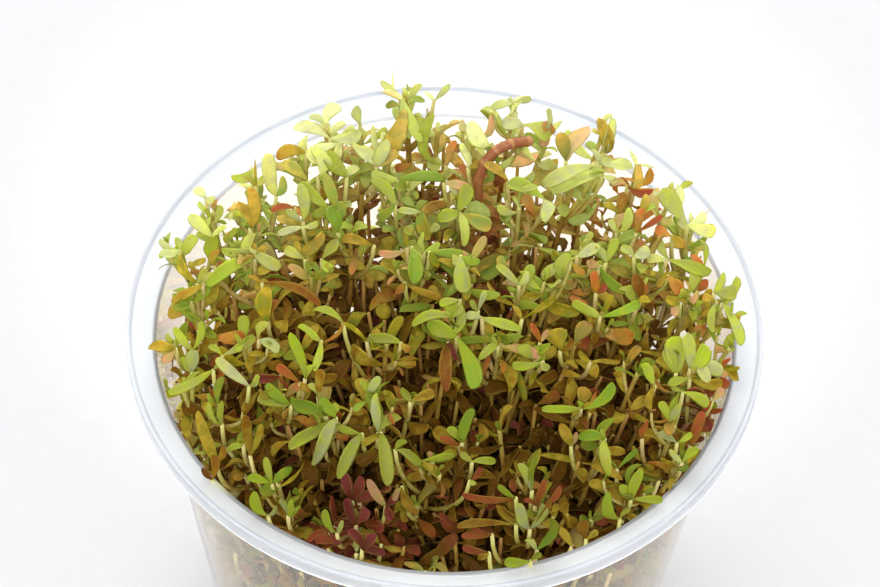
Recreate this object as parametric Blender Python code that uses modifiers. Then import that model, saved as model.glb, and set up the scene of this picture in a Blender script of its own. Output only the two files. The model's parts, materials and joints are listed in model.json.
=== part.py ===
"""A clear culture cup filled with slender water plants that root in a disc of nutrient gel.

The cup is a turned shell. Each plant is a square stem that is extruded ring by ring from the gel to its tip, with
its opposite leaf pairs, each turned a quarter from the last, extruded from the sides of the stem.
"""

import math
import random

import bmesh
import bpy
from mathutils import Matrix, Vector

MM = 0.001

# The cup, in millimetres, from its flat underside at 0 up
RIM_RADIUS = 45.0
RIM_HEIGHT = 65.0
MOUTH_RADIUS = 40.9
MOUTH_HEIGHT = 63.2
FLOOR_RADIUS = 34.0
FLOOR_HEIGHT = 1.2
FLOOR_CORNER = 1.5
WALL = 0.8
CREST_WIDTH = 0.7
LIP_DROP = 2.4
TURN_STEPS = 44

# The gel, and the gap that is kept between pieces that touch
GEL_HEIGHT = 13.0
MENISCUS_RISE = 0.5
MENISCUS_WIDTH = 1.2
GAP = 0.3

# The plants
ROOT_SPREAD = 0.78
LEAN_POWER = 1.5
SWAY = 0.9
STEM_HALF = 0.5
STEM_TIP_HALF = 0.32
NODE_LENGTH = 0.8
TALL_PAIRS = 4
SHORT_PAIRS = 3
SIDE_PAIRS = 2
SIDE_START = 0.5
SIDE_OFFSET = 1.7
SIDE_HALF = 0.42
BEND_SHARES = (0.2, 0.42)
SHORT_BELOW = 7.5
FORK = -1
LEAF_CLEARANCE = 0.25
WALL_CLEARANCE = 0.9
OVERHANG_RADIUS = 43.6
SMALLEST_LEAF = 0.4
WIDEST_SHARE = 0.6
LEAF_DROOP = 22.0
LEAF_THICKNESS = 0.5
SEED = 7

# Leaf pairs from the tip down: how far below the tip, then the blade's length, width and rise in degrees
LEAF_PAIRS = (
    (1.2, 4.6, 2.2, 44.0),
    (5.4, 5.8, 2.7, 22.0),
    (10.4, 6.4, 2.9, 6.0),
    (16.4, 6.6, 3.0, -8.0),
)

# The planting plan, from the back of the cup to its front: where each shoot's tip stands, seen from above, and how far
# it rises above the rim, in millimetres. A second place is the tip of its side shoot.
PLANTING = (
    ((-18, 26, 11), (-13, 26, 9)),
    ((-7, 31, 13), (-2, 28, 9)),
    ((3, 27, 10), None),
    ((9, 30, 12), (14, 27, 10)),
    ((22, 29, 9), None),
    ((-28, 19, 7), None),
    ((-22, 22, 9), None),
    ((-6, 18, 8), None),
    ((1, 16, 8), None),
    ((4, 20, 8), None),
    ((18, 20, 9), None),
    ((27, 21, 7), None),
    ((32, 20, 6), None),
    ((-34, 13, 5), None),
    ((-38, 8, 4), None),
    ((-29, 14, 6), None),
    ((-20, 13, 8), (-14, 10, 7)),
    ((-4, 10, 7), None),
    ((10, 15, 8), None),
    ((19, 9, 7), (24, 11, 7)),
    ((35, 15, 5), None),
    ((29, 7, 6), None),
    ((-36, 0, 3), None),
    ((-29, 5, 6), None),
    ((-25, -2, 6), None),
    ((-19, 2, 7), None),
    ((-5, 5, 7), None),
    ((3, 4, 9), None),
    ((11, 2, 7), (16, 3, 7)),
    ((22, -2, 6), (18, -7, 5)),
    ((27, 2, 6), None),
    ((39, 2, 4), (34, 3, 5)),
    ((-38, -7, 2), None),
    ((-28, -9, 5), None),
    ((-20, -10, 6), None),
    ((-8, -8, 5), None),
    ((1, -6, 8), None),
    ((8, -8, 6), (13, -10, 6)),
    ((34, -8, 6), None),
    ((40, -5, 3), None),
    ((-36, -14, 1), None),
    ((-31, -16, 0), (-26, -19, -2)),
    ((-22, -16, 3), None),
    ((-16, -20, 4), None),
    ((-9, -18, 6), (-4, -16, 3)),
    ((3, -20, 1), None),
    ((19, -17, 4), None),
    ((22, -21, 2), None),
    ((32, -18, 2), (33, -22, 0)),
    ((37, -12, 1), None),
    ((27, -10, 3), None),
    ((-22, -28, -1), (-20, -31, -3)),
    ((-11, -28, -5), (-14, -32, -5)),
    ((-1, -24, 0), (-3, -28, -5)),
    ((12, -24, -2), (8, -17, -2)),
    ((14, -31, -1), None),
    ((26, -27, -1), (21, -28, -7)),
)

# The one shoot whose end has thickened and bent over sideways, and the places that its end runs through
BENT_SHOOT = 10
BENT_HALF = 0.8
BENT_PLACES = ((4.9, 21.3, 10.0), (6.4, 22.4, 11.4), (8.5, 23.4, 11.9), (11.0, 24.4, 11.4))

RED_SHOOTS = (10, 12, 50, 53)
OLIVE_SHOOTS = (2, 11, 17, 22, 25, 26, 30, 35, 36, 42, 46, 47, 51, 55)
PLASTIC_COLOUR = (0.93, 0.95, 0.96, 1.0)
GEL_COLOUR = (0.90, 0.87, 0.74, 1.0)
SHOOT_COLOURS = {
    "lime_shoot": (0.46, 0.60, 0.08, 1.0),
    "olive_shoot": (0.28, 0.30, 0.05, 1.0),
    "red_shoot": (0.38, 0.10, 0.05, 1.0),
}


def clear_scene():
    """Removes whatever objects the file was opened with."""
    for thing in list(bpy.data.objects):
        bpy.data.objects.remove(thing, do_unlink=True)


def make_material(name, colour, roughness):
    """A plain material with the piece's colour and roughness."""
    material = bpy.data.materials.new(name)
    material.use_nodes = True
    shader = material.node_tree.nodes["Principled BSDF"]
    shader.inputs["Base Color"].default_value = colour
    shader.inputs["Roughness"].default_value = roughness
    shader.inputs["Metallic"].default_value = 0.0
    return material


def add_object(name, mesh, material, collection):
    """Puts a mesh in the collection as a named object with its material."""
    thing = bpy.data.objects.new(name, mesh)
    mesh.materials.append(material)
    collection.objects.link(thing)
    return thing


def wall_radius(height):
    """The inner radius of the tapered wall at a height above the underside."""
    share = (height - FLOOR_HEIGHT - FLOOR_CORNER) / (MOUTH_HEIGHT - FLOOR_HEIGHT - FLOOR_CORNER)
    return FLOOR_RADIUS + (MOUTH_RADIUS - FLOOR_RADIUS) * share


def turned_mesh(name, profile, material, collection):
    """Turns a profile of radii and heights, in millimetres, about the vertical axis. It runs down its outer side."""
    mesh = bpy.data.meshes.new(name)
    bm = bmesh.new()
    points = [bm.verts.new((radius * MM, 0.0, height * MM)) for radius, height in profile]
    for start, end in zip(points, points[1:]):
        bm.edges.new((start, end))
    bm.to_mesh(mesh)
    bm.free()
    thing = add_object(name, mesh, material, collection)
    screw = thing.modifiers.new("turn", "SCREW")
    screw.steps = TURN_STEPS
    screw.render_steps = TURN_STEPS
    screw.use_merge_vertices = True
    screw.merge_threshold = 0.00001
    screw.use_smooth_shade = True
    return thing


def make_cup(collection):
    """The tub: floor, wall, flange that rises to its crest, and the lip turned down outside it."""
    crest_inside = RIM_RADIUS - CREST_WIDTH
    lip_foot = RIM_HEIGHT - LIP_DROP
    profile = [
        (0.0, FLOOR_HEIGHT),
        (FLOOR_RADIUS - FLOOR_CORNER, FLOOR_HEIGHT),
        (FLOOR_RADIUS, FLOOR_HEIGHT + FLOOR_CORNER),
        (MOUTH_RADIUS - 0.3, MOUTH_HEIGHT - WALL),
        (MOUTH_RADIUS + 0.1, MOUTH_HEIGHT),
        (crest_inside, RIM_HEIGHT),
        (RIM_RADIUS, RIM_HEIGHT),
        (RIM_RADIUS, lip_foot),
        (RIM_RADIUS - WALL, lip_foot),
        (RIM_RADIUS - WALL, RIM_HEIGHT - WALL),
        (crest_inside, RIM_HEIGHT - WALL),
        (MOUTH_RADIUS + WALL, MOUTH_HEIGHT - WALL),
        (FLOOR_RADIUS + WALL, FLOOR_HEIGHT + FLOOR_CORNER),
        (FLOOR_RADIUS - WALL, 0.0),
        (0.0, 0.0),
    ]
    return turned_mesh("cup", profile, make_material("clear_plastic", PLASTIC_COLOUR, 0.15), collection)


def make_gel(collection):
    """The gel disc, which creeps a little up the wall all round."""
    foot = FLOOR_HEIGHT + GAP
    profile = [
        (0.0, GEL_HEIGHT),
        (wall_radius(GEL_HEIGHT) - GAP - MENISCUS_WIDTH, GEL_HEIGHT),
        (wall_radius(GEL_HEIGHT) - GAP, GEL_HEIGHT + MENISCUS_RISE),
        (FLOOR_RADIUS - GAP, FLOOR_HEIGHT + FLOOR_CORNER + GAP),
        (FLOOR_RADIUS - FLOOR_CORNER - GAP, foot),
        (0.0, foot),
    ]
    return turned_mesh("culture_gel", profile, make_material("nutrient_gel", GEL_COLOUR, 0.2), collection)


class Stem:
    """One upright stem's centre line, from its root to its tip, in millimetres."""

    def __init__(self, root, tip, sway_angle, quarter):
        self.root = root
        self.tip = tip
        self.sway = Vector((math.cos(sway_angle), math.sin(sway_angle), 0.0)) * SWAY
        self.quarter = quarter
        self.overhang = []

    def share(self, height):
        """How far up the stem a height is, from 0 at the root to 1 at the tip."""
        return min(1.0, max(0.0, (height - self.root.z) / (self.tip.z - self.root.z)))

    def at(self, height):
        """The centre at a height. Above the tip it goes straight up, so that a tip's leaves keep their own space."""
        share = self.share(height)
        lean = share ** LEAN_POWER
        point = self.root + (self.tip - self.root) * lean + self.sway * math.sin(2.0 * math.pi * share)
        return Vector((point.x, point.y, height))

    def ahead(self, height):
        """The way that the stem points at a height."""
        low = min(height, self.tip.z - 0.5) - 0.5
        return (self.at(low + 1.0) - self.at(low)).normalized()

    def half_width(self, height):
        """Half the stem's width, which tapers to the tip."""
        return STEM_HALF + (STEM_TIP_HALF - STEM_HALF) * self.share(height)


class SideStem(Stem):
    """A side stem, which leaves its parent at a fork and draws away from it as both rise."""

    def __init__(self, parent, tip):
        fork = parent.at(parent.root.z + (parent.tip.z - parent.root.z) * SIDE_START)
        self.parent = parent
        self.reach = tip - parent.at(tip.z)
        self.start = self.reach.normalized() * SIDE_OFFSET
        super().__init__(fork, tip, 0.0, parent.quarter)

    def at(self, height):
        """The centre at a height: the parent's, and the part of the way out that has been grown there."""
        return self.parent.at(height) + self.start + (self.reach - self.start) * self.share(height)

    def half_width(self, height):
        """Half the side stem's width, which tapers to the tip."""
        return SIDE_HALF + (STEM_TIP_HALF - SIDE_HALF) * self.share(height)


def plant_stems():
    """The main and side stem of each place in the planting plan. The side stem is None where there is none."""
    chance = random.Random(SEED)
    plants = []
    for main_place, side_place in PLANTING:
        tip = Vector((main_place[0], main_place[1], RIM_HEIGHT + main_place[2]))
        root = Vector((tip.x * ROOT_SPREAD, tip.y * ROOT_SPREAD, GEL_HEIGHT + GAP))
        main = Stem(root, tip, chance.uniform(0.0, 2.0 * math.pi), chance.uniform(0.0, 0.5 * math.pi))
        side = None
        if side_place:
            side = SideStem(main, Vector((side_place[0], side_place[1], RIM_HEIGHT + side_place[2])))
        plants.append((main, side))
    bent = plants[BENT_SHOOT - 1][0]
    bent.overhang = [Vector((x, y, RIM_HEIGHT + rise)) for x, y, rise in BENT_PLACES]
    return plants


def has_room(point, own, stems):
    """Whether a point of a leaf lies nearer its own stem than any other, and inside the cup's wall or over its rim."""
    reach = math.hypot(point.x, point.y)
    if point.z < RIM_HEIGHT + LEAF_CLEARANCE:
        if reach > wall_radius(min(point.z, MOUTH_HEIGHT)) - WALL_CLEARANCE:
            return False
    elif reach > OVERHANG_RADIUS:
        return False
    to_own = (point - own.at(point.z)).length
    for other in stems:
        if other is own or point.z < other.root.z:
            continue
        if (point - other.at(point.z)).length < to_own + LEAF_CLEARANCE:
            return False
    return True


def move_face(bm, face, centre, normal, scale):
    """Extrudes a face and sets the new one's centre, the way that it faces and its scale."""
    old_centre = face.calc_center_median()
    turn = face.normal.rotation_difference(normal).to_matrix()
    new = bmesh.ops.extrude_discrete_faces(bm, faces=[face])["faces"][0]
    for vert in new.verts:
        vert.co = centre + turn @ ((vert.co - old_centre) * scale)
    new.normal_update()
    return new


def side_faces(face):
    """The faces round a face: those of the stretch that was extruded last."""
    faces = []
    for edge in face.edges:
        faces.extend(linked for linked in edge.link_faces if linked is not face)
    return faces


def face_towards(faces, direction):
    """The face that looks most along a direction."""
    for face in faces:
        face.normal_update()
    return max(faces, key=lambda face: face.normal.dot(direction))


def leaf_points(base, direction, length, width, rise):
    """The widest place's left and right, its middle, and the tip of a leaf that leaves the stem and then flattens."""
    side = Vector((-direction.y, direction.x, 0.0))
    climb = math.radians(rise)
    droop = math.radians(rise - LEAF_DROOP)
    middle = base + (direction * math.cos(climb) + Vector((0.0, 0.0, math.sin(climb)))) * length * WIDEST_SHARE
    tip = middle + (direction * math.cos(droop) + Vector((0.0, 0.0, math.sin(droop)))) * length * (1.0 - WIDEST_SHARE)
    return middle + side * width / 2.0, middle - side * width / 2.0, middle, tip


def add_leaf(bm, face, direction, size, own, stems):
    """Extrudes a leaf from a side face of the stem, as large as its neighbours leave room for, or none."""
    length, width, rise = size
    base = face.calc_center_median()
    scale = 1.0
    while scale >= SMALLEST_LEAF:
        left, right, middle, tip = leaf_points(base, direction, length * scale, width * scale, rise)
        if all(has_room(point, own, stems) for point in (left, right, middle, tip)):
            break
        scale -= 0.1
    else:
        return
    blade = bmesh.ops.extrude_discrete_faces(bm, faces=[face])["faces"][0]
    corners = sorted(blade.verts, key=lambda vert: vert.co.z)
    lower = sorted(corners[:2], key=lambda vert: vert.co.dot(left - right))
    lower[0].co = right
    lower[1].co = left
    ridge = middle + Vector((0.0, 0.0, LEAF_THICKNESS))
    bmesh.ops.pointmerge(bm, verts=corners[2:], merge_co=ridge)
    end = bmesh.ops.extrude_discrete_faces(bm, faces=[blade])["faces"][0]
    bmesh.ops.pointmerge(bm, verts=list(end.verts), merge_co=tip)


def to_height(bm, face, stem, height):
    """Extrudes the stem's end face to a height, square to the centre line there."""
    old_half = math.sqrt(face.calc_area()) / 2.0
    return move_face(bm, face, stem.at(height), stem.ahead(height), stem.half_width(height) / old_half)


def heading(angle):
    """The level direction at an angle about the vertical."""
    return Vector((math.cos(angle), math.sin(angle), 0.0))


def grow(bm, face, stem, pairs, bends, fork_height, stems):
    """Extrudes a stem from a face up its centre line, then its leaves from the short stretches at its nodes.

    Returns the face that the side stem starts from, or None where the stem has no fork.
    """
    nodes = [(stem.tip.z - LEAF_PAIRS[index][0], index) for index in range(pairs)]
    stops = [(height, None) for height in bends] + nodes
    if fork_height:
        stops.append((fork_height, FORK))
    fork_face = None
    waiting = []
    for height, index in sorted(stops, key=lambda stop: stop[0]):
        if index is None:
            face = to_height(bm, face, stem, height)
            continue
        face = to_height(bm, face, stem, height - NODE_LENGTH / 2.0)
        face = to_height(bm, face, stem, height + NODE_LENGTH / 2.0)
        if index == FORK:
            fork_face = face_towards(side_faces(face), stem.fork_direction)
            continue
        for turn in (0.0, math.pi):
            angle = stem.quarter + 0.5 * math.pi * (index % 2) + turn
            leaf_face = face_towards(side_faces(face), heading(angle))
            direction = Vector((leaf_face.normal.x, leaf_face.normal.y, 0.0)).normalized()
            waiting.append((leaf_face, direction, LEAF_PAIRS[index][1:]))
    if stem.overhang:
        overhang(bm, face, stem)
    else:
        bmesh.ops.pointmerge(bm, verts=list(face.verts), merge_co=stem.tip)
    for leaf_face, direction, size in waiting:
        add_leaf(bm, leaf_face, direction, size, stem, stems)
    return fork_face


def overhang(bm, face, stem):
    """Carries a stem's end on through the places of its bend and closes it to a blunt point."""
    places = [stem.tip] + stem.overhang
    for before, place in zip(places, places[1:]):
        face = move_face(bm, face, place, (place - before).normalized(), BENT_HALF * 2.0 / math.sqrt(face.calc_area()))
    bmesh.ops.pointmerge(bm, verts=list(face.verts), merge_co=places[-1] + (places[-1] - places[-2]) * 0.3)


def make_shoot(number, main, side, stems, material, collection):
    """One plant: its stem on a square foot, its leaves, and its side stem if it has one."""
    bm = bmesh.new()
    foot = bmesh.ops.create_cube(bm, size=2.0 * STEM_HALF)
    bmesh.ops.rotate(bm, verts=foot["verts"], matrix=Matrix.Rotation(main.quarter, 3, "Z"))
    bmesh.ops.translate(bm, verts=foot["verts"], vec=main.root + Vector((0.0, 0.0, STEM_HALF)))
    bm.normal_update()
    top = face_towards(bm.faces, Vector((0.0, 0.0, 1.0)))
    pairs = TALL_PAIRS if main.tip.z > RIM_HEIGHT + SHORT_BELOW else SHORT_PAIRS
    bends = [main.root.z + (main.tip.z - main.root.z) * share for share in BEND_SHARES]
    if side:
        main.fork_direction = side.start.normalized()
        fork_face = grow(bm, top, main, pairs, bends, side.root.z, stems)
        outward = (side.start.normalized() + Vector((0.0, 0.0, 1.0))).normalized()
        first = side.at(side.root.z + SIDE_OFFSET)
        face = move_face(bm, fork_face, first, outward, 1.0)
        grow(bm, face, side, SIDE_PAIRS, (), None, stems)
    else:
        grow(bm, top, main, pairs, bends, None, stems)
    bmesh.ops.scale(bm, verts=bm.verts, vec=(MM, MM, MM))
    bmesh.ops.recalc_face_normals(bm, faces=bm.faces)
    name = f"shoot_{number:02d}"
    mesh = bpy.data.meshes.new(name)
    bm.to_mesh(mesh)
    bm.free()
    return add_object(name, mesh, material, collection)


def main():
    """Builds the cup, the gel and every plant of the planting plan."""
    clear_scene()
    collection = bpy.data.collections.new("tissue_culture_cup")
    bpy.context.scene.collection.children.link(collection)
    make_cup(collection)
    make_gel(collection)
    plants = plant_stems()
    stems = [stem for pair in plants for stem in pair if stem]
    materials = {name: make_material(name, colour, 0.5) for name, colour in SHOOT_COLOURS.items()}
    for number, (main_stem, side_stem) in enumerate(plants, start=1):
        kind = "red_shoot" if number in RED_SHOOTS else "olive_shoot" if number in OLIVE_SHOOTS else "lime_shoot"
        make_shoot(number, main_stem, side_stem, stems, materials[kind], collection)


main()
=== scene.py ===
"""A clear culture cup crowded with rotala shoots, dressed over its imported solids.

The cup and its nutrient gel are spun afresh. Each shoot is one joined mesh that replaces its own solid: the
same stem on the same centre line, with roots in the gel, rounded leaves in opposite pairs, thin low shoots that
fill the cup below, and the sprays of young leaves that make the crown. Sizes are in millimetres until a mesh
is done.
"""

import json
import logging
import math
import random
from collections.abc import Sequence
from dataclasses import dataclass, field
from enum import Enum

import bmesh
import bpy
import numpy as np
from mathutils import Matrix, Vector

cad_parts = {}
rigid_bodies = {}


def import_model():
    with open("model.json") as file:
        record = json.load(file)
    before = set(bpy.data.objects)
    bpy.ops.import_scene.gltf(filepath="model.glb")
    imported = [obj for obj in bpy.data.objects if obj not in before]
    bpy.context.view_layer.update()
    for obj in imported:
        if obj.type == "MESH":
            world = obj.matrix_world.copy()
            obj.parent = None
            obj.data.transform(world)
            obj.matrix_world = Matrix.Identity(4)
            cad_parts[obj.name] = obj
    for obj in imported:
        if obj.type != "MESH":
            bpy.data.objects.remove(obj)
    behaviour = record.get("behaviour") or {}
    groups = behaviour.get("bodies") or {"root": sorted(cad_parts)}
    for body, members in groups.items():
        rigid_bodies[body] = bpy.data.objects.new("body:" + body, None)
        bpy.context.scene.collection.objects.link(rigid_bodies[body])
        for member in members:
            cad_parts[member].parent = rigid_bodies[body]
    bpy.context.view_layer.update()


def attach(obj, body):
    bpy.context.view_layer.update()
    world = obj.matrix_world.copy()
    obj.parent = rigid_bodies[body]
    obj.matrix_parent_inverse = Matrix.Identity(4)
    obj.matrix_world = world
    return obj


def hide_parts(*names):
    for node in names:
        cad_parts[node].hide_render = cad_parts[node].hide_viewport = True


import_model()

LOG = logging.getLogger("culture_cup")
MM = 0.001
UP = Vector((0.0, 0.0, 1.0))
SEED = 7
SEEDS_APART = 1000
GOLDEN_ANGLE = math.pi * (3.0 - math.sqrt(5.0))
QUARTER_TURN = 1.57

# The planting, as in the part's source
RIM_HEIGHT = 65.0
GEL_HEIGHT = 13.0
GAP = 0.3
ROOT_SPREAD = 0.78
LEAN_POWER = 1.5
SWAY = 0.9
STEM_HALF = 0.5
STEM_TIP_HALF = 0.32
SIDE_START = 0.5
SIDE_OFFSET = 1.7
SIDE_HALF = 0.42
SIDE_PAIRS = 2
BENT_SHOOT = 10
BENT_HALF = 0.8
BENT_PLACES = ((4.9, 21.3, 10.0), (6.4, 22.4, 11.4), (8.5, 23.4, 11.9), (11.0, 24.4, 11.4))
RED_SHOOTS = (10, 12, 50, 53)
OLIVE_SHOOTS = (2, 11, 17, 22, 25, 26, 30, 35, 36, 42, 46, 47, 51, 55)

# A shoot whose tip is this far behind or before the cup's axis has the full look of the back or the front
BACK_REACH = 30.0

# On a leaf's underside, a vertex's place across the blade is raised by this much, which the finish reads
UNDERSIDE_MARK = 4.0

# Leaf pairs from the tip down: how far below the tip, then the blade's length, width and rise in degrees.
# The first four stand at the nodes of the solids, and the rest are older ones lower down
LEAF_PAIRS = (
    (1.2, 4.6, 2.2, 44.0),
    (5.4, 5.8, 2.7, 22.0),
    (10.4, 6.4, 2.9, 6.0),
    (16.4, 6.2, 2.6, -8.0),
    (22.0, 5.6, 2.2, -16.0),
    (28.0, 5.0, 1.9, -24.0),
    (34.5, 4.4, 1.7, -30.0),
)

# Where each shoot's tip stands, seen from above, and how far it rises above the rim. A second place is the
# tip of its side shoot
PLANTING = (
    ((-18, 26, 11), (-13, 26, 9)),
    ((-7, 31, 13), (-2, 28, 9)),
    ((3, 27, 10), None),
    ((9, 30, 12), (14, 27, 10)),
    ((22, 29, 9), None),
    ((-28, 19, 7), None),
    ((-22, 22, 9), None),
    ((-6, 18, 8), None),
    ((1, 16, 8), None),
    ((4, 20, 8), None),
    ((18, 20, 9), None),
    ((27, 21, 7), None),
    ((32, 20, 6), None),
    ((-34, 13, 5), None),
    ((-38, 8, 4), None),
    ((-29, 14, 6), None),
    ((-20, 13, 8), (-14, 10, 7)),
    ((-4, 10, 7), None),
    ((10, 15, 8), None),
    ((19, 9, 7), (24, 11, 7)),
    ((35, 15, 5), None),
    ((29, 7, 6), None),
    ((-36, 0, 3), None),
    ((-29, 5, 6), None),
    ((-25, -2, 6), None),
    ((-19, 2, 7), None),
    ((-5, 5, 7), None),
    ((3, 4, 9), None),
    ((11, 2, 7), (16, 3, 7)),
    ((22, -2, 6), (18, -7, 5)),
    ((27, 2, 6), None),
    ((39, 2, 4), (34, 3, 5)),
    ((-38, -7, 2), None),
    ((-28, -9, 5), None),
    ((-20, -10, 6), None),
    ((-8, -8, 5), None),
    ((1, -6, 8), None),
    ((8, -8, 6), (13, -10, 6)),
    ((34, -8, 6), None),
    ((40, -5, 3), None),
    ((-36, -14, 1), None),
    ((-31, -16, 0), (-26, -19, -2)),
    ((-22, -16, 3), None),
    ((-16, -20, 4), None),
    ((-9, -18, 6), (-4, -16, 3)),
    ((3, -20, 1), None),
    ((19, -17, 4), None),
    ((22, -21, 2), None),
    ((32, -18, 2), (33, -22, 0)),
    ((37, -12, 1), None),
    ((27, -10, 3), None),
    ((-22, -28, -1), (-20, -31, -3)),
    ((-11, -28, -5), (-14, -32, -5)),
    ((-1, -24, 0), (-3, -28, -5)),
    ((12, -24, -2), (8, -17, -2)),
    ((14, -31, -1), None),
    ((26, -27, -1), (21, -28, -7)),
)

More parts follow.
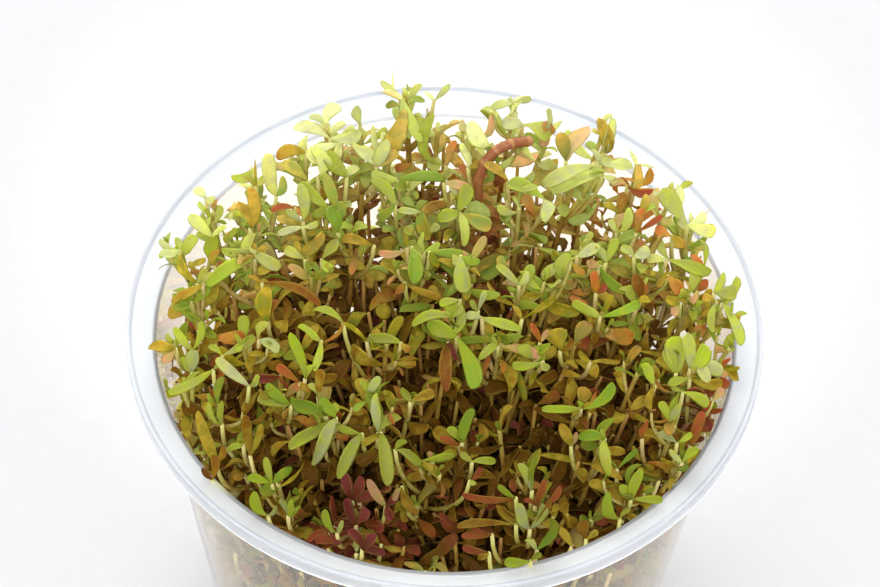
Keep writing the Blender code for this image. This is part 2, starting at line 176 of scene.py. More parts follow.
# The sprays of the crown, by where they show in the photograph, in pixels: the point that the leaves spring
# from, how far that lies above the general crown in millimetres, and each leaf's tip, width in pixels, tone,
# and how far it stands up, from 0 for one that lies along the crown to 1 for one that is upright
SPRAYS = (
    # back left
    (206, 198, 3.0, ((193, 190, 9, "pale", 0.6), (213, 203, 10, "pale", 0.3))),
    (212, 237, 2.0, ((189, 215, 12, "lime", 0.4), (226, 226, 6, "lime", 0.6))),
    (256, 186, 2.0, ((255, 157, 3, "olive", 1.0), (243, 176, 3, "olive", 0.8), (264, 177, 6, "lime", 0.8))),
    (250, 229, 1.0, ((238, 201, 12, "tan", 0.8), (250, 187, 12, "tan", 0.9))),
    (276, 196, 2.0, ((266, 153, 16, "lime", 0.9), (284, 176, 9, "olive", 0.6))),
    (308, 181, 1.5, ((281, 163, 12, "olive", 0.5), (300, 197, 9, "lime", 0.2))),
    (306, 153, 2.0, ((276, 157, 13, "tan", 0.5), (318, 166, 10, "lime", 0.4))),
    (330, 139, 2.0, ((293, 128, 12, "lime", 0.5), (360, 127, 14, "lime", 0.5))),
    (325, 125, 3.5, ((309, 117, 7, "pale", 0.6), (315, 129, 7, "lime", 0.3), (341, 106, 13, "pale", 0.8))),
    (360, 124, 3.5, ((358, 105, 9, "pale", 0.9), (366, 136, 6, "lime", 0.2))),
    (342, 143, 1.5, ((306, 155, 10, "pale", 0.3), (336, 160, 8, "lime", 0.2))),
    (318, 178, 1.0, ((314, 146, 15, "lime", 0.8), (330, 188, 10, "green", 0.2))),
    (347, 177, 1.0, ((326, 152, 15, "green", 0.8), (360, 168, 9, "lime", 0.6))),
    (328, 208, 1.5, ((300, 182, 12, "green", 0.4), (346, 213, 16, "blue", 0.3))),
    (303, 222, 1.0, ((299, 183, 12, "lime", 0.8), (286, 210, 8, "lime", 0.4))),
    (295, 208, 0.5, ((271, 212, 7, "red", 0.3), (306, 217, 7, "orange", 0.3))),
    (335, 211, 1.0, ((325, 172, 12, "olive", 0.9), (350, 200, 8, "lime", 0.5))),
    (303, 227, 1.0, ((277, 234, 7, "pale", 0.3), (318, 222, 8, "lime", 0.4))),
    (305, 259, 0.5, ((321, 231, 15, "olive", 0.5), (284, 250, 11, "lime", 0.3))),
    (322, 259, 1.0, ((337, 239, 11, "lime", 0.5), (332, 273, 10, "green", 0.1))),
    (374, 246, 0.5, ((341, 242, 11, "tan", 0.3), (360, 258, 8, "olive", 0.2))),
    (338, 233, 1.0, ((330, 208, 15, "blue", 0.5), (352, 224, 9, "green", 0.3))),
    # back middle
    (400, 98, 2.0, ((381, 80, 8, "lime", 0.9), (393, 68, 3, "pale", 1.0), (415, 93, 5, "pale", 0.6))),
    (434, 101, 2.0, ((451, 84, 6, "lime", 0.9), (424, 92, 4, "pale", 0.8))),
    (403, 98, 2.0, ((420, 143, 12, "green", 0.0), (410, 126, 7, "olive", 0.2))),
    (392, 151, 0.5, ((403, 108, 18, "tan", 0.9), (382, 132, 9, "lime", 0.7))),
    (446, 166, 0.5, ((434, 112, 11, "green", 0.9), (455, 140, 8, "orange", 0.8))),
    (375, 151, 1.5, ((375, 127, 12, "lime", 0.8), (361, 150, 9, "lime", 0.4))),
    (376, 166, 0.5, ((352, 141, 13, "lime", 0.7), (386, 139, 14, "lime", 0.8), (399, 152, 12, "tan", 0.6))),
    (489, 147, 1.0, ((469, 121, 15, "lime", 0.9), (500, 160, 9, "olive", 0.3))),
    (468, 168, 0.5, ((463, 143, 10, "pale", 0.9), (478, 160, 8, "tan", 0.5))),
    (514, 103, 2.0, ((491, 107, 8, "lime", 0.4), (531, 97, 8, "lime", 0.5))),
    (523, 125, 1.5, ((502, 124, 14, "pale", 0.5), (549, 141, 16, "green", 0.2))),
    (547, 134, 1.5,
     ((546, 110, 12, "pale", 0.9), (550, 121, 12, "orange", 0.6), (546, 147, 11, "pink", 0.2))),
    (566, 161, 1.0,
     ((589, 126, 15, "pink", 0.7), (560, 132, 13, "olive", 0.8), (575, 141, 12, "tan", 0.7))),
    (606, 153, 1.5, ((598, 117, 12, "tan", 0.9), (611, 116, 12, "lime", 0.9))),
    (595, 166, 1.0, ((541, 186, 14, "lime", 0.2), (613, 158, 9, "lime", 0.5))),
    (603, 175, 1.0, ((550, 193, 15, "green", 0.2), (618, 184, 8, "lime", 0.3))),
    (601, 165, 1.5, ((633, 169, 12, "lime", 0.3), (590, 150, 8, "pale", 0.7))),
    (545, 200, 1.0, ((507, 184, 15, "green", 0.3), (546, 223, 13, "lime", 0.0))),
    (508, 182, 1.0, ((484, 163, 9, "tan", 0.6), (535, 172, 9, "lime", 0.4))),
    (459, 212, 1.5, ((438, 222, 13, "green", 0.2), (467, 184, 13, "green", 0.4))),
    (460, 213, 1.5, ((491, 229, 15, "olive", 0.2), (463, 247, 10, "green", 0.0))),
    (398, 180, 1.5, ((446, 179, 10, "blue", 0.3), (371, 173, 12, "green", 0.4))),
    (444, 183, 1.0, ((470, 188, 9, "pink", 0.3), (452, 170, 8, "olive", 0.6))),
    (415, 224, 1.0, ((447, 203, 11, "brown", 0.4), (404, 236, 8, "olive", 0.2))),
    (421, 212, 1.5, ((398, 211, 7, "lime", 0.3), (430, 240, 15, "olive", 0.1))),
    (395, 206, 1.0, ((372, 178, 12, "green", 0.5), (381, 222, 10, "olive", 0.2))),
    (424, 251, 0.5, ((422, 232, 6, "lime", 0.8), (440, 243, 7, "green", 0.3))),
    # back right
    (636, 165, 3.0, ((630, 149, 4, "pale", 1.0), (655, 168, 3, "pale", 0.4))),
    (634, 189, 1.0, ((641, 164, 10, "tan", 0.8), (641, 178, 6, "pale", 0.7))),
    (627, 186, 1.0, ((609, 182, 8, "pink", 0.4), (653, 190, 8, "red", 0.4))),
    (618, 215, 0.5, ((624, 192, 10, "brown", 0.6), (604, 204, 8, "olive", 0.4))),
    (641, 213, 1.0, ((647, 194, 9, "olive", 0.6), (655, 205, 6, "green", 0.4))),
    (687, 225, 2.5,
     ((662, 188, 17, "lime", 0.6), (706, 213, 10, "pale", 0.5), (716, 232, 14, "lime", 0.2))),
    (681, 206, 3.0, ((676, 185, 9, "pale", 0.9), (662, 196, 8, "lime", 0.5))),
    (636, 233, 0.5, ((645, 209, 12, "orange", 0.6), (663, 216, 7, "red", 0.4))),
    (672, 236, 1.0, ((655, 228, 11, "orange", 0.4), (684, 248, 9, "tan", 0.2))),
    (606, 263, 1.0, ((616, 238, 10, "green", 0.6), (595, 246, 8, "lime", 0.5))),
    (617, 233, 1.0, ((629, 207, 10, "green", 0.7), (610, 219, 7, "lime", 0.5))),
    (634, 257, 1.5, ((649, 248, 12, "pale", 0.4), (622, 245, 9, "lime", 0.5))),
    (667, 260, 1.5, ((647, 262, 12, "lime", 0.3), (712, 271, 13, "lime", 0.1))),
    (703, 269, 1.5, ((699, 240, 8, "lime", 0.8), (692, 254, 7, "orange", 0.6))),
    (668, 276, 0.5, ((683, 293, 14, "orange", 0.1), (655, 284, 10, "tan", 0.2))),
    (640, 301, 0.0, ((636, 273, 13, "brown", 0.6), (648, 285, 8, "orange", 0.4))),
    (636, 307, 1.0, ((628, 289, 9, "lime", 0.7), (650, 300, 8, "olive", 0.3))),
    (600, 266, 1.0, ((627, 293, 10, "blue", 0.1), (587, 263, 9, "pink", 0.3))),
    (577, 257, 1.5, ((601, 247, 11, "lime", 0.3), (541, 278, 11, "lime", 0.1))),
    (571, 262, 0.5, ((552, 251, 10, "olive", 0.5), (584, 275, 9, "tan", 0.1))),
    (519, 285, 1.0, ((496, 265, 8, "lime", 0.4), (528, 271, 8, "pale", 0.7))),
    (596, 293, 0.5, ((593, 271, 11, "orange", 0.7), (606, 284, 8, "red", 0.4))),
    (714, 293, 2.0, ((737, 293, 15, "lime", 0.3), (723, 272, 8, "lime", 0.8))),
    (722, 304, 1.5, ((741, 346, 12, "lime", 0.0), (733, 318, 8, "lime", 0.1))),
    (716, 302, 1.0, ((711, 332, 12, "lime", 0.0), (702, 297, 9, "tan", 0.3))),
    (698, 291, 0.5, ((708, 280, 9, "red", 0.5), (690, 303, 9, "pink", 0.2))),
    (680, 304, 0.5, ((673, 316, 9, "pink", 0.1), (666, 297, 9, "olive", 0.4))),
    # middle left
    (179, 250, 2.0, ((159, 240, 7, "pale", 0.4), (160, 255, 9, "pale", 0.1), (175, 237, 7, "lime", 0.8))),
    (197, 283, 1.0, ((182, 253, 10, "olive", 0.4), (206, 268, 8, "lime", 0.6))),
    (214, 266, 1.0, ((212, 237, 15, "green", 0.8), (219, 249, 8, "tan", 0.7))),
    (250, 248, 1.5, ((221, 250, 9, "lime", 0.3), (281, 269, 13, "lime", 0.1))),
    (255, 258, 1.0, ((206, 285, 14, "green", 0.1), (268, 247, 8, "olive", 0.5))),
    (268, 322, 1.0, ((268, 286, 17, "olive", 0.5), (280, 300, 8, "brown", 0.4))),
    (262, 283, 1.5, ((321, 309, 12, "brown", 0.1), (247, 276, 8, "tan", 0.3))),
    (343, 323, 1.0, ((312, 311, 9, "lime", 0.3), (322, 343, 4, "orange", 0.1))),
    (203, 283, 1.5, ((173, 306, 12, "tan", 0.1), (214, 274, 8, "lime", 0.5))),
    (176, 349, 2.0, ((148, 349, 12, "tan", 0.1), (163, 364, 11, "pink", 0.0))),
    (192, 350, 1.5, ((174, 327, 9, "lime", 0.5), (201, 321, 9, "lime", 0.6))),
    (192, 372, 1.5, ((197, 350, 15, "pale", 0.6), (180, 358, 8, "lime", 0.4))),
    (222, 356, 1.5, ((255, 336, 11, "lime", 0.3), (209, 345, 8, "lime", 0.4))),
    (259, 340, 1.5, ((268, 322, 10, "lime", 0.7), (278, 353, 13, "pale", 0.1))),
    (249, 386, 1.5, ((216, 358, 12, "pale", 0.3), (260, 376, 8, "lime", 0.4))),
    (213, 370, 1.5, ((168, 394, 11, "lime", 0.1), (222, 360, 7, "lime", 0.5))),
    (280, 376, -1.0, ((252, 378, 11, "maroon", 0.2), (290, 388, 8, "orange", 0.1))),
    (305, 379, 1.5, ((290, 332, 12, "lime", 0.8), (316, 366, 8, "lime", 0.6))),
    (321, 341, 2.0, ((297, 327, 10, "lime", 0.4), (316, 372, 9, "lime", 0.0))),
    (300, 383, 0.5, ((277, 365, 11, "orange", 0.3), (310, 392, 8, "tan", 0.1))),
    (250, 341, 0.0, ((237, 332, 7, "orange", 0.5), (262, 350, 7, "brown", 0.2))),
    (318, 397, 1.0, ((322, 369, 13, "tan", 0.6), (308, 384, 8, "pale", 0.5))),
    (291, 405, 1.0, ((257, 398, 14, "lime", 0.2), (266, 384, 12, "green", 0.4))),
    (326, 416, 1.5, ((291, 396, 16, "green", 0.3), (338, 404, 10, "lime", 0.4))),
    (367, 342, 0.5, ((342, 322, 5, "olive", 0.4), (380, 330, 8, "olive", 0.4))),
    (401, 343, 1.5, ((367, 338, 11, "lime", 0.2), (410, 352, 8, "tan", 0.1))),
    # the middle
    (407, 248, 1.0, ((378, 253, 8, "pink", 0.2), (404, 236, 7, "olive", 0.5))),
    (412, 247, 1.5, ((413, 285, 15, "blue", 0.0), (421, 262, 8, "lime", 0.1))),
    (430, 252, 1.5, ((473, 257, 10, "blue", 0.2), (440, 266, 8, "olive", 0.1))),
    (461, 256, 2.5, ((468, 293, 18, "lime", 0.0), (480, 262, 9, "blue", 0.3))),
    (460, 300, 1.0, ((439, 304, 9, "lime", 0.2), (456, 334, 9, "lime", 0.0))),
    (452, 318, 1.5, ((411, 326, 10, "lime", 0.1), (463, 307, 7, "lime", 0.6))),
    (457, 337, 2.0, ((427, 322, 17, "green", 0.3), (475, 389, 18, "green", 0.0))),
    (482, 318, 1.5, ((465, 316, 9, "pale", 0.3), (521, 331, 11, "lime", 0.1))),
    (478, 360, 1.5, ((498, 345, 10, "lime", 0.4), (466, 371, 7, "lime", 0.1))),
    (498, 346, 1.5, ((539, 356, 12, "pink", 0.1), (492, 337, 5, "lime", 0.5))),
    (543, 362, 1.5, ((512, 366, 10, "lime", 0.1), (548, 371, 9, "lime", 0.1))),
    (405, 283, 0.0, ((442, 298, 10, "tan", 0.1), (396, 295, 8, "brown", 0.1))),
    (448, 343, -0.5, ((446, 393, 13, "brown", 0.0), (457, 360, 7, "maroon", 0.1))),
    (478, 311, 0.5, ((486, 290, 7, "pale", 0.7), (470, 300, 6, "lime", 0.5))),
    (522, 319, 0.5, ((556, 296, 8, "olive", 0.3), (512, 306, 7, "tan", 0.3))),
    (600, 317, 2.0, ((572, 302, 13, "lime", 0.3), (640, 303, 11, "blue", 0.3))),
    (540, 343, 0.5, ((532, 322, 7, "orange", 0.6), (548, 330, 6, "pink", 0.4))),
    (560, 351, 0.0, ((549, 331, 18, "olive", 0.4), (572, 338, 8, "brown", 0.3))),
    (590, 362, 0.5, ((621, 361, 6, "tan", 0.1), (580, 350, 7, "olive", 0.3))),
    (410, 402, 1.5, ((403, 387, 9, "lime", 0.5), (435, 393, 12, "olive", 0.3))),
    # middle right
    (676, 373, 2.5, ((680, 336, 22, "lime", 0.4), (664, 349, 13, "lime", 0.5))),
    (690, 369, 2.5, ((703, 343, 19, "lime", 0.5), (688, 332, 14, "pale", 0.7))),
    (700, 363, 2.5, ((723, 373, 16, "pale", 0.2), (709, 383, 12, "pale", 0.0))),
    (690, 378, 1.5, ((723, 383, 13, "olive", 0.1), (668, 386, 10, "lime", 0.1))),
    (655, 386, 1.5, ((640, 365, 14, "lime", 0.5), (648, 409, 11, "olive", 0.0))),
    (683, 392, 2.0, ((709, 405, 13, "lime", 0.1), (671, 387, 5, "lime", 0.3))),
    (672, 425, 1.5, ((659, 402, 11, "lime", 0.5), (679, 403, 9, "pale", 0.7))),
    (677, 443, 1.5, ((657, 435, 10, "pale", 0.4), (692, 433, 7, "lime", 0.5))),
    (682, 463, 1.5, ((698, 448, 10, "lime", 0.4), (670, 449, 7, "pale", 0.5))),
    (690, 446, -0.5, ((703, 411, 12, "orange", 0.5), (699, 430, 9, "red", 0.3))),
    (642, 439, 0.0, ((647, 420, 8, "orange", 0.6), (634, 430, 6, "brown", 0.4))),
    (712, 401, 1.0, ((723, 388, 9, "pink", 0.5), (706, 412, 8, "red", 0.1))),
    (722, 369, 1.0, ((730, 358, 6, "red", 0.7), (726, 378, 8, "pink", 0.1))),
    (581, 409, 1.5, ((541, 410, 10, "lime", 0.1), (614, 383, 13, "green", 0.3))),
    (571, 446, 0.5, ((561, 423, 12, "olive", 0.5), (577, 432, 6, "pink", 0.4))),
    (605, 439, 2.0, ((578, 436, 13, "green", 0.2), (610, 476, 14, "lime", 0.0))),
    (617, 469, 1.0, ((638, 449, 7, "green", 0.4), (607, 458, 5, "green", 0.4))),
    (631, 499, 1.5,
     ((642, 468, 12, "lime", 0.6), (619, 486, 12, "lime", 0.5), (663, 500, 10, "lime", 0.1))),
    (620, 519, 1.0, ((607, 492, 14, "lime", 0.6), (630, 508, 7, "lime", 0.4))),
    (586, 539, 0.5, ((584, 520, 15, "tan", 0.6), (598, 531, 8, "olive", 0.3))),
    (532, 491, 2.0, ((519, 463, 12, "pale", 0.6), (538, 455, 7, "lime", 0.7))),
    (572, 546, 0.0, ((557, 527, 10, "olive", 0.4), (583, 553, 8, "brown", 0.1))),
    # front
    (516, 498, 2.5, ((498, 485, 8, "lime", 0.6), (461, 494, 9, "orange", 0.1))),
    (516, 525, 1.5, ((456, 527, 10, "tan", 0.1), (525, 512, 7, "lime", 0.5))),
    (492, 535, 0.5, ((461, 536, 9, "orange", 0.1), (470, 526, 6, "red", 0.3))),
    (489, 553, 0.0, ((462, 547, 9, "red", 0.1), (478, 560, 8, "olive", 0.1))),
    (530, 529, 3.0, ((518, 503, 13, "pale", 0.5), (542, 503, 14, "pale", 0.5), (550, 498, 9, "tan", 0.5))),
    (535, 506, 2.0,
     ((545, 479, 9, "orange", 0.6), (561, 486, 9, "orange", 0.4), (524, 499, 6, "orange", 0.5))),
    (537, 550, 2.0, ((549, 517, 19, "green", 0.4), (524, 541, 8, "pale", 0.4))),
    (531, 561, 1.5, ((504, 563, 12, "lime", 0.1), (541, 553, 8, "lime", 0.4))),
    (472, 462, 1.0, ((496, 461, 9, "lime", 0.1), (460, 452, 8, "lime", 0.3))),
    (470, 481, 0.0, ((482, 468, 9, "red", 0.4), (476, 485, 7, "pale", 0.1))),
    (462, 443, 1.5, ((472, 408, 14, "green", 0.5), (447, 428, 10, "lime", 0.4))),
    (460, 445, 0.5, ((440, 437, 8, "orange", 0.2), (470, 455, 7, "tan", 0.1))),
    (368, 393, 2.5, ((379, 376, 11, "pale", 0.6), (360, 381, 8, "lime", 0.6))),
    (378, 433, 2.0,
     ((369, 391, 15, "green", 0.4), (401, 417, 12, "lime", 0.1), (377, 393, 11, "pale", 0.6))),
    (381, 433, 2.5, ((387, 487, 17, "lime", 0.0), (362, 446, 10, "olive", 0.0))),
    (395, 450, 2.0, ((423, 463, 12, "lime", 0.1), (407, 441, 8, "lime", 0.3))),
    (420, 461, 1.5, ((455, 455, 11, "lime", 0.2), (434, 469, 9, "olive", 0.0))),
    (402, 487, 1.5, ((419, 514, 11, "tan", 0.0), (392, 500, 8, "pink", 0.0))),
    (336, 418, 2.5,
     ((311, 465, 16, "pale", 0.0), (289, 450, 14, "lime", 0.1), (321, 398, 12, "green", 0.3))),
    (362, 434, 2.5, ((337, 479, 14, "lime", 0.0), (334, 424, 11, "lime", 0.3))),
    (222, 425, 2.0, ((208, 402, 7, "lime", 0.6), (222, 401, 7, "lime", 0.8))),
    (243, 444, 1.5, ((228, 452, 9, "lime", 0.2), (250, 433, 6, "olive", 0.6))),
    (250, 456, 1.0, ((246, 415, 12, "tan", 0.8), (262, 424, 9, "olive", 0.7))),
    (216, 463, 0.5, ((198, 410, 13, "olive", 0.6), (224, 446, 8, "tan", 0.5))),
    (212, 480, 0.0, ((214, 454, 11, "tan", 0.6), (202, 468, 8, "brown", 0.4))),
    (272, 484, 2.5,
     ((265, 457, 9, "lime", 0.7), (292, 467, 12, "green", 0.4), (246, 480, 11, "lime", 0.3))),
    (268, 516, 1.0, ((253, 491, 13, "lime", 0.6), (276, 505, 7, "pale", 0.5))),
    (288, 516, 2.0, ((281, 498, 8, "pale", 0.6), (292, 499, 8, "lime", 0.6), (301, 506, 8, "lime", 0.4))),
    (337, 533, 2.0, ((325, 509, 11, "lime", 0.7), (343, 520, 6, "pale", 0.7))),
    (330, 531, 0.0, ((307, 540, 9, "red", 0.1), (340, 545, 8, "maroon", 0.1))),
    (352, 500, 0.5,
     ((343, 472, 13, "maroon", 0.5), (362, 476, 13, "maroon", 0.5), (374, 492, 13, "maroon", 0.2))),
    (356, 525, 0.5,
     ((345, 498, 13, "maroon", 0.5), (367, 508, 13, "maroon", 0.4), (340, 520, 11, "maroon", 0.2))),
    (362, 550, 0.5,
     ((350, 528, 13, "maroon", 0.5), (377, 535, 13, "maroon", 0.3), (386, 552, 11, "maroon", 0.1))),
    (386, 506, 1.0,
     ((367, 479, 11, "pink", 0.5), (398, 492, 10, "maroon", 0.4), (393, 520, 10, "maroon", 0.1))),
)


class Tone(Enum):
    """How a leaf is coloured: its age, from 0 when it opens to 1 when it is brown, and its blush of red."""

    PALE = (0.02, 0.0)
    LIME = (0.14, 0.05)
    GREEN = (0.27, 0.0)
    # BLUE is a cooler green: partly the leaf's own green and partly a painted reflection of the bluish sheen on
    # the leaves' tops
    BLUE = (0.37, 0.0)
    OLIVE = (0.50, 0.1)
    TAN = (0.62, 0.2)
    ORANGE = (0.67, 0.8)
    BROWN = (0.76, 0.3)
    PINK = (0.20, 0.9)
    RED = (0.82, 0.9)
    MAROON = (1.0, 0.9)


# Painted light: how much younger, and so paler, each tone is painted at the very back of the cup, where the
# light comes from
BACK_PAINTED_LIGHT = {
    Tone.LIME: 0.12,
    Tone.GREEN: 0.12,
    Tone.OLIVE: 0.12,
    Tone.BROWN: 0.12,
    Tone.ORANGE: 0.12,
    Tone.PALE: 0.07,
    Tone.TAN: 0.07,
}


class Outline(Enum):
    """A leaf's outline, as the powers of its width towards the base and towards the tip."""

    SPOON = (1.25, 0.42)
    OVAL = (0.80, 0.42)
    LANCE = (0.80, 0.80)


class Layer(Enum):
    """The material slots of a shoot's mesh."""

    LEAF = 0
    STEM = 1


def linear(hex_colour: str) -> tuple[float, float, float, float]:
    """Turns an sRGB hex colour into linear values.

    Args:
        hex_colour: The colour as "#rrggbb".

    Returns:
        Red, green, blue and an alpha of 1.
    """
    values = [int(hex_colour[start:start + 2], 16) / 255.0 for start in (1, 3, 5)]
    turned = [value / 12.92 if value <= 0.04045 else ((value + 0.055) / 1.055) ** 2.4 for value in values]
    return turned[0], turned[1], turned[2], 1.0


def clamp(value: float, low: float = 0.0, high: float = 1.0) -> float:
    """Keeps a value between two ends."""
    return max(low, min(high, value))


def heading(angle: float) -> Vector:
    """Gives the level direction at an angle about the vertical."""
    return Vector((math.cos(angle), math.sin(angle), 0.0))


def per_mm(size: float) -> float:
    """Gives a texture scale, on coordinates in metres, from the size of its features in millimetres."""
    return 1.0 / (size * MM)


def span(low: float, high: float, least: float = 0.0, most: float = 1.0) -> dict[str, float]:
    """Names the ends that a node turns into one another: low becomes least, and high becomes most."""
    return {"From Min": low, "From Max": high, "To Min": least, "To Max": most}


def add_node(
    tree: bpy.types.NodeTree,
    kind: str,
    inputs: dict | None = None,
    out: int | str | None = 0,
    stops: tuple = (),
    **settings: object,
) -> bpy.types.NodeSocket | bpy.types.Node:
    """Adds a node to a material.

    Args:
        tree: The material's node tree.
        kind: The node's type, without the word that all shader nodes start with.
        inputs: What its inputs get, by name or number: a value, or another node's output.
        out: The output to give, by name or number.
        stops: A ramp's places, from 0 up to 1, each with its hex colour.
        **settings: The node's properties by name.

    Returns:
        The output, or the node itself where out is None.
    """
    node = tree.nodes.new("ShaderNode" + kind)
    for name, value in settings.items():
        setattr(node, name, value)
    for name, value in (inputs or {}).items():
        if isinstance(value, bpy.types.NodeSocket):
            tree.links.new(value, node.inputs[name])
        else:
            node.inputs[name].default_value = value
    for index, (place, colour) in enumerate(stops):
        elements = node.color_ramp.elements
        element = elements[index] if index < len(elements) else elements.new(place)
        element.position = place
        element.color = linear(colour)
    return node if out is None else node.outputs[out]


class Finish:
    """What every finish shares: a named material, whose surface it builds from nodes."""

    name: str

    def surface(self, tree: bpy.types.NodeTree, coords: bpy.types.NodeSocket) -> bpy.types.NodeSocket:
        """Builds the surface. Each finish has its own.

        Args:
            tree: The material's node tree.
            coords: The object's coordinates, in metres.

        Returns:
            The shader's output.
        """
        raise NotImplementedError

    def build(self) -> bpy.types.Material:
        """Makes the material."""
        material = bpy.data.materials.new(self.name)
        material.use_nodes = True
        tree = material.node_tree
        tree.nodes.clear()
        coords = add_node(tree, "TexCoord", out="Object")
        add_node(tree, "OutputMaterial", {"Surface": self.surface(tree, coords)}, out=None)
        return material


@dataclass(frozen=True)
class LeafFinish(Finish):
    """Living leaf tissue: thin, waxy and lit through, from lime when young to ochre and brown when old."""

    name: str = "rotala_leaf"
    ages: tuple = (
        (0.0, "#d3d9a0"),
        (0.14, "#cbd25a"),
        (0.27, "#b7c930"),
        (0.38, "#95b83a"),
        (0.50, "#b2a61c"),
        (0.61, "#d2be40"),
        (0.70, "#ae8a24"),
        (0.79, "#8a6816"),
        (0.90, "#7a5610"),
        (1.0, "#62420c"),
    )
    blushes: tuple = (
        (0.0, "#f0c4a0"),
        (0.35, "#e0a070"),
        (0.66, "#da8238"),
        (0.82, "#c4603e"),
        (1.0, "#9c4642"),
    )
    rib: str = "#dde08a"
    # The pale edge is painted light: the thin margin as it shows when lit through
    edge: str = "#dcd866"
    underside: str = "#c4a552"
    # A pale colour, the young leaves' own, which towards the back is also painted light
    pale_and_lit_tint: str = "#e8e8c8"
    glow: tuple = (0.98, 1.0, 0.80, 1.0)
    mottle: float = 1.6
    freckle: float = 0.45
    cell: float = 0.16
    cell_depth: float = 0.06
    age_drift: float = 0.40
    tip_age: float = 0.07
    rib_share: float = 0.16
    underside_share: float = 0.16
    most_bleach: float = 0.44
    age_bleach: float = 0.45
    painted_light_depths: tuple = (-2.0, 34.0)
    painted_light_share: float = 1.7
    own_shades: tuple = (0.80, 1.12)
    patch_shades: tuple = (0.82, 1.1)
    # Painted light and shade: leaves are painted darker towards the front of the cup, lighter towards the back,
    # and lighter by the wall at the sides
    painted_shade_depths: tuple = (-34.0, 34.0)
    painted_shade_by_depth: tuple = (0.70, 1.20)
    painted_wall_light_reach: tuple = (12.0, 36.0)
    painted_wall_light: tuple = (1.0, 1.13)
    wax: tuple = (0.30, 0.55)
    ior: float = 1.42
    specular: float = 0.09
    through: float = 0.58

    def marks(
        self,
        tree: bpy.types.NodeTree,
        age: bpy.types.NodeSocket,
        across: bpy.types.NodeSocket,
        near_rib: bpy.types.NodeSocket,
        under: bpy.types.NodeSocket,
    ) -> list[tuple]:
        """Gives the marks that lie over the leaf's colour: its pale edge, painted light of the thin margin lit
        through, its rib and its duller underside.

        Args:
            tree: The material's node tree.
            age: The leaf's age.
            across: How far from the rib a point is, from 0 to 1 at the edge.
            near_rib: How close to the rib it is, from 0 to 1 on the rib.
            under: Whether it is on the underside.

        Returns:
            Each mark's share and colour.
        """
        # The pale margin: painted light
        outer = {0: across, 1: 0.6, 2: -0.36}
        edge = add_node(tree, "Math", outer, operation="MULTIPLY_ADD", use_clamp=True)
        young = {0: age, 1: -self.rib_share, 2: self.rib_share}
        clear = add_node(tree, "Math", young, operation="MULTIPLY_ADD")
        rib = add_node(tree, "Math", {0: near_rib, 1: clear}, operation="MULTIPLY")
        dull = add_node(tree, "Math", {0: under, 1: self.underside_share}, operation="MULTIPLY")
        return [(edge, linear(self.edge)), (rib, linear(self.rib)), (dull, linear(self.underside))]

    def bleach(
        self,
        tree: bpy.types.NodeTree,
        age: bpy.types.NodeSocket,
        chance: bpy.types.NodeSocket,
        depth: bpy.types.NodeSocket,
    ) -> bpy.types.NodeSocket:
        """Works out how pale a leaf is painted: its youth and its chance set the share, which grows from none
        at the front to the most at the back, as painted light.

        Args:
            tree: The material's node tree.
            age: The leaf's age.
            chance: The leaf's own chance, from 0 to 1.
            depth: How far back in the cup it is, in metres.

        Returns:
            The share of the pale colour, partly the young leaf's own and partly painted light.
        """
        near, far = self.painted_light_depths
        young = {0: age, 1: -self.age_bleach, 2: self.most_bleach}
        pale = add_node(tree, "Math", young, operation="MULTIPLY_ADD", use_clamp=True)
        drawn = add_node(tree, "Math", {0: chance, 1: pale}, operation="MULTIPLY")
        lit = {"Value": depth} | span(near * MM, far * MM, 0.0, self.painted_light_share)
        return add_node(tree, "Math", {0: drawn, 1: add_node(tree, "MapRange", lit)}, operation="MULTIPLY")

    def surface(self, tree: bpy.types.NodeTree, coords: bpy.types.NodeSocket) -> bpy.types.NodeSocket:
        """Builds the surface, which reads each leaf's own length, width, age and blush from two UV maps.

        Args:
            tree: The material's node tree.
            coords: The object's coordinates, in metres.

        Returns:
            The shader's output.
        """
        place = add_node(tree, "SeparateXYZ", {0: add_node(tree, "UVMap", uv_map="leaf_place")}, out=None)
        along = place.outputs[0]
        under = add_node(tree, "Math", {0: place.outputs[1], 1: 2.5}, operation="GREATER_THAN")
        unmarked = {0: under, 1: -UNDERSIDE_MARK, 2: place.outputs[1]}
        across = add_node(tree, "Math", unmarked, operation="MULTIPLY_ADD")
        across = add_node(tree, "Math", {0: across}, operation="ABSOLUTE")
        inner = {0: across, 1: -5.0, 2: 1.0}
        near_rib = add_node(tree, "Math", inner, operation="MULTIPLY_ADD", use_clamp=True)
        tone = add_node(tree, "UVMap", uv_map="leaf_tone")
        told = add_node(tree, "SeparateXYZ", {0: tone}, out=None)
        own = add_node(tree, "TexWhiteNoise", {"Vector": tone}, out=None, noise_dimensions="2D")
        chance = add_node(tree, "SeparateXYZ", {0: own.outputs["Color"]})
        jar = add_node(tree, "SeparateXYZ", {0: coords}, out=None)
        # How far a point lies from the middle, sideways, for the painted light by the wall
        aside = add_node(tree, "Math", {0: jar.outputs["X"]}, operation="ABSOLUTE")
        mottle, freckle, cells = (
            add_node(tree, "TexNoise", {"Vector": coords, "Scale": per_mm(size), "Detail": detail})
            for size, detail in ((self.mottle, 3.0), (self.freckle, 2.0), (self.cell, 1.0))
        )

        middle = -0.5 * (self.age_drift + self.tip_age)
        drift = add_node(tree, "Math", {0: mottle, 1: self.age_drift, 2: middle}, operation="MULTIPLY_ADD")
        drift = add_node(tree, "Math", {0: along, 1: self.tip_age, 2: drift}, operation="MULTIPLY_ADD")
        age = add_node(tree, "Math", {0: told.outputs[0], 1: drift}, operation="ADD", use_clamp=True)
        reach = add_node(tree, "Math", {0: freckle, 1: 1.5, 2: -0.35}, operation="MULTIPLY_ADD")
        reach = add_node(tree, "Math", {0: along, 1: 0.8, 2: reach}, operation="MULTIPLY_ADD")
        blush = add_node(tree, "Math", {0: told.outputs[1], 1: reach}, operation="MULTIPLY", use_clamp=True)

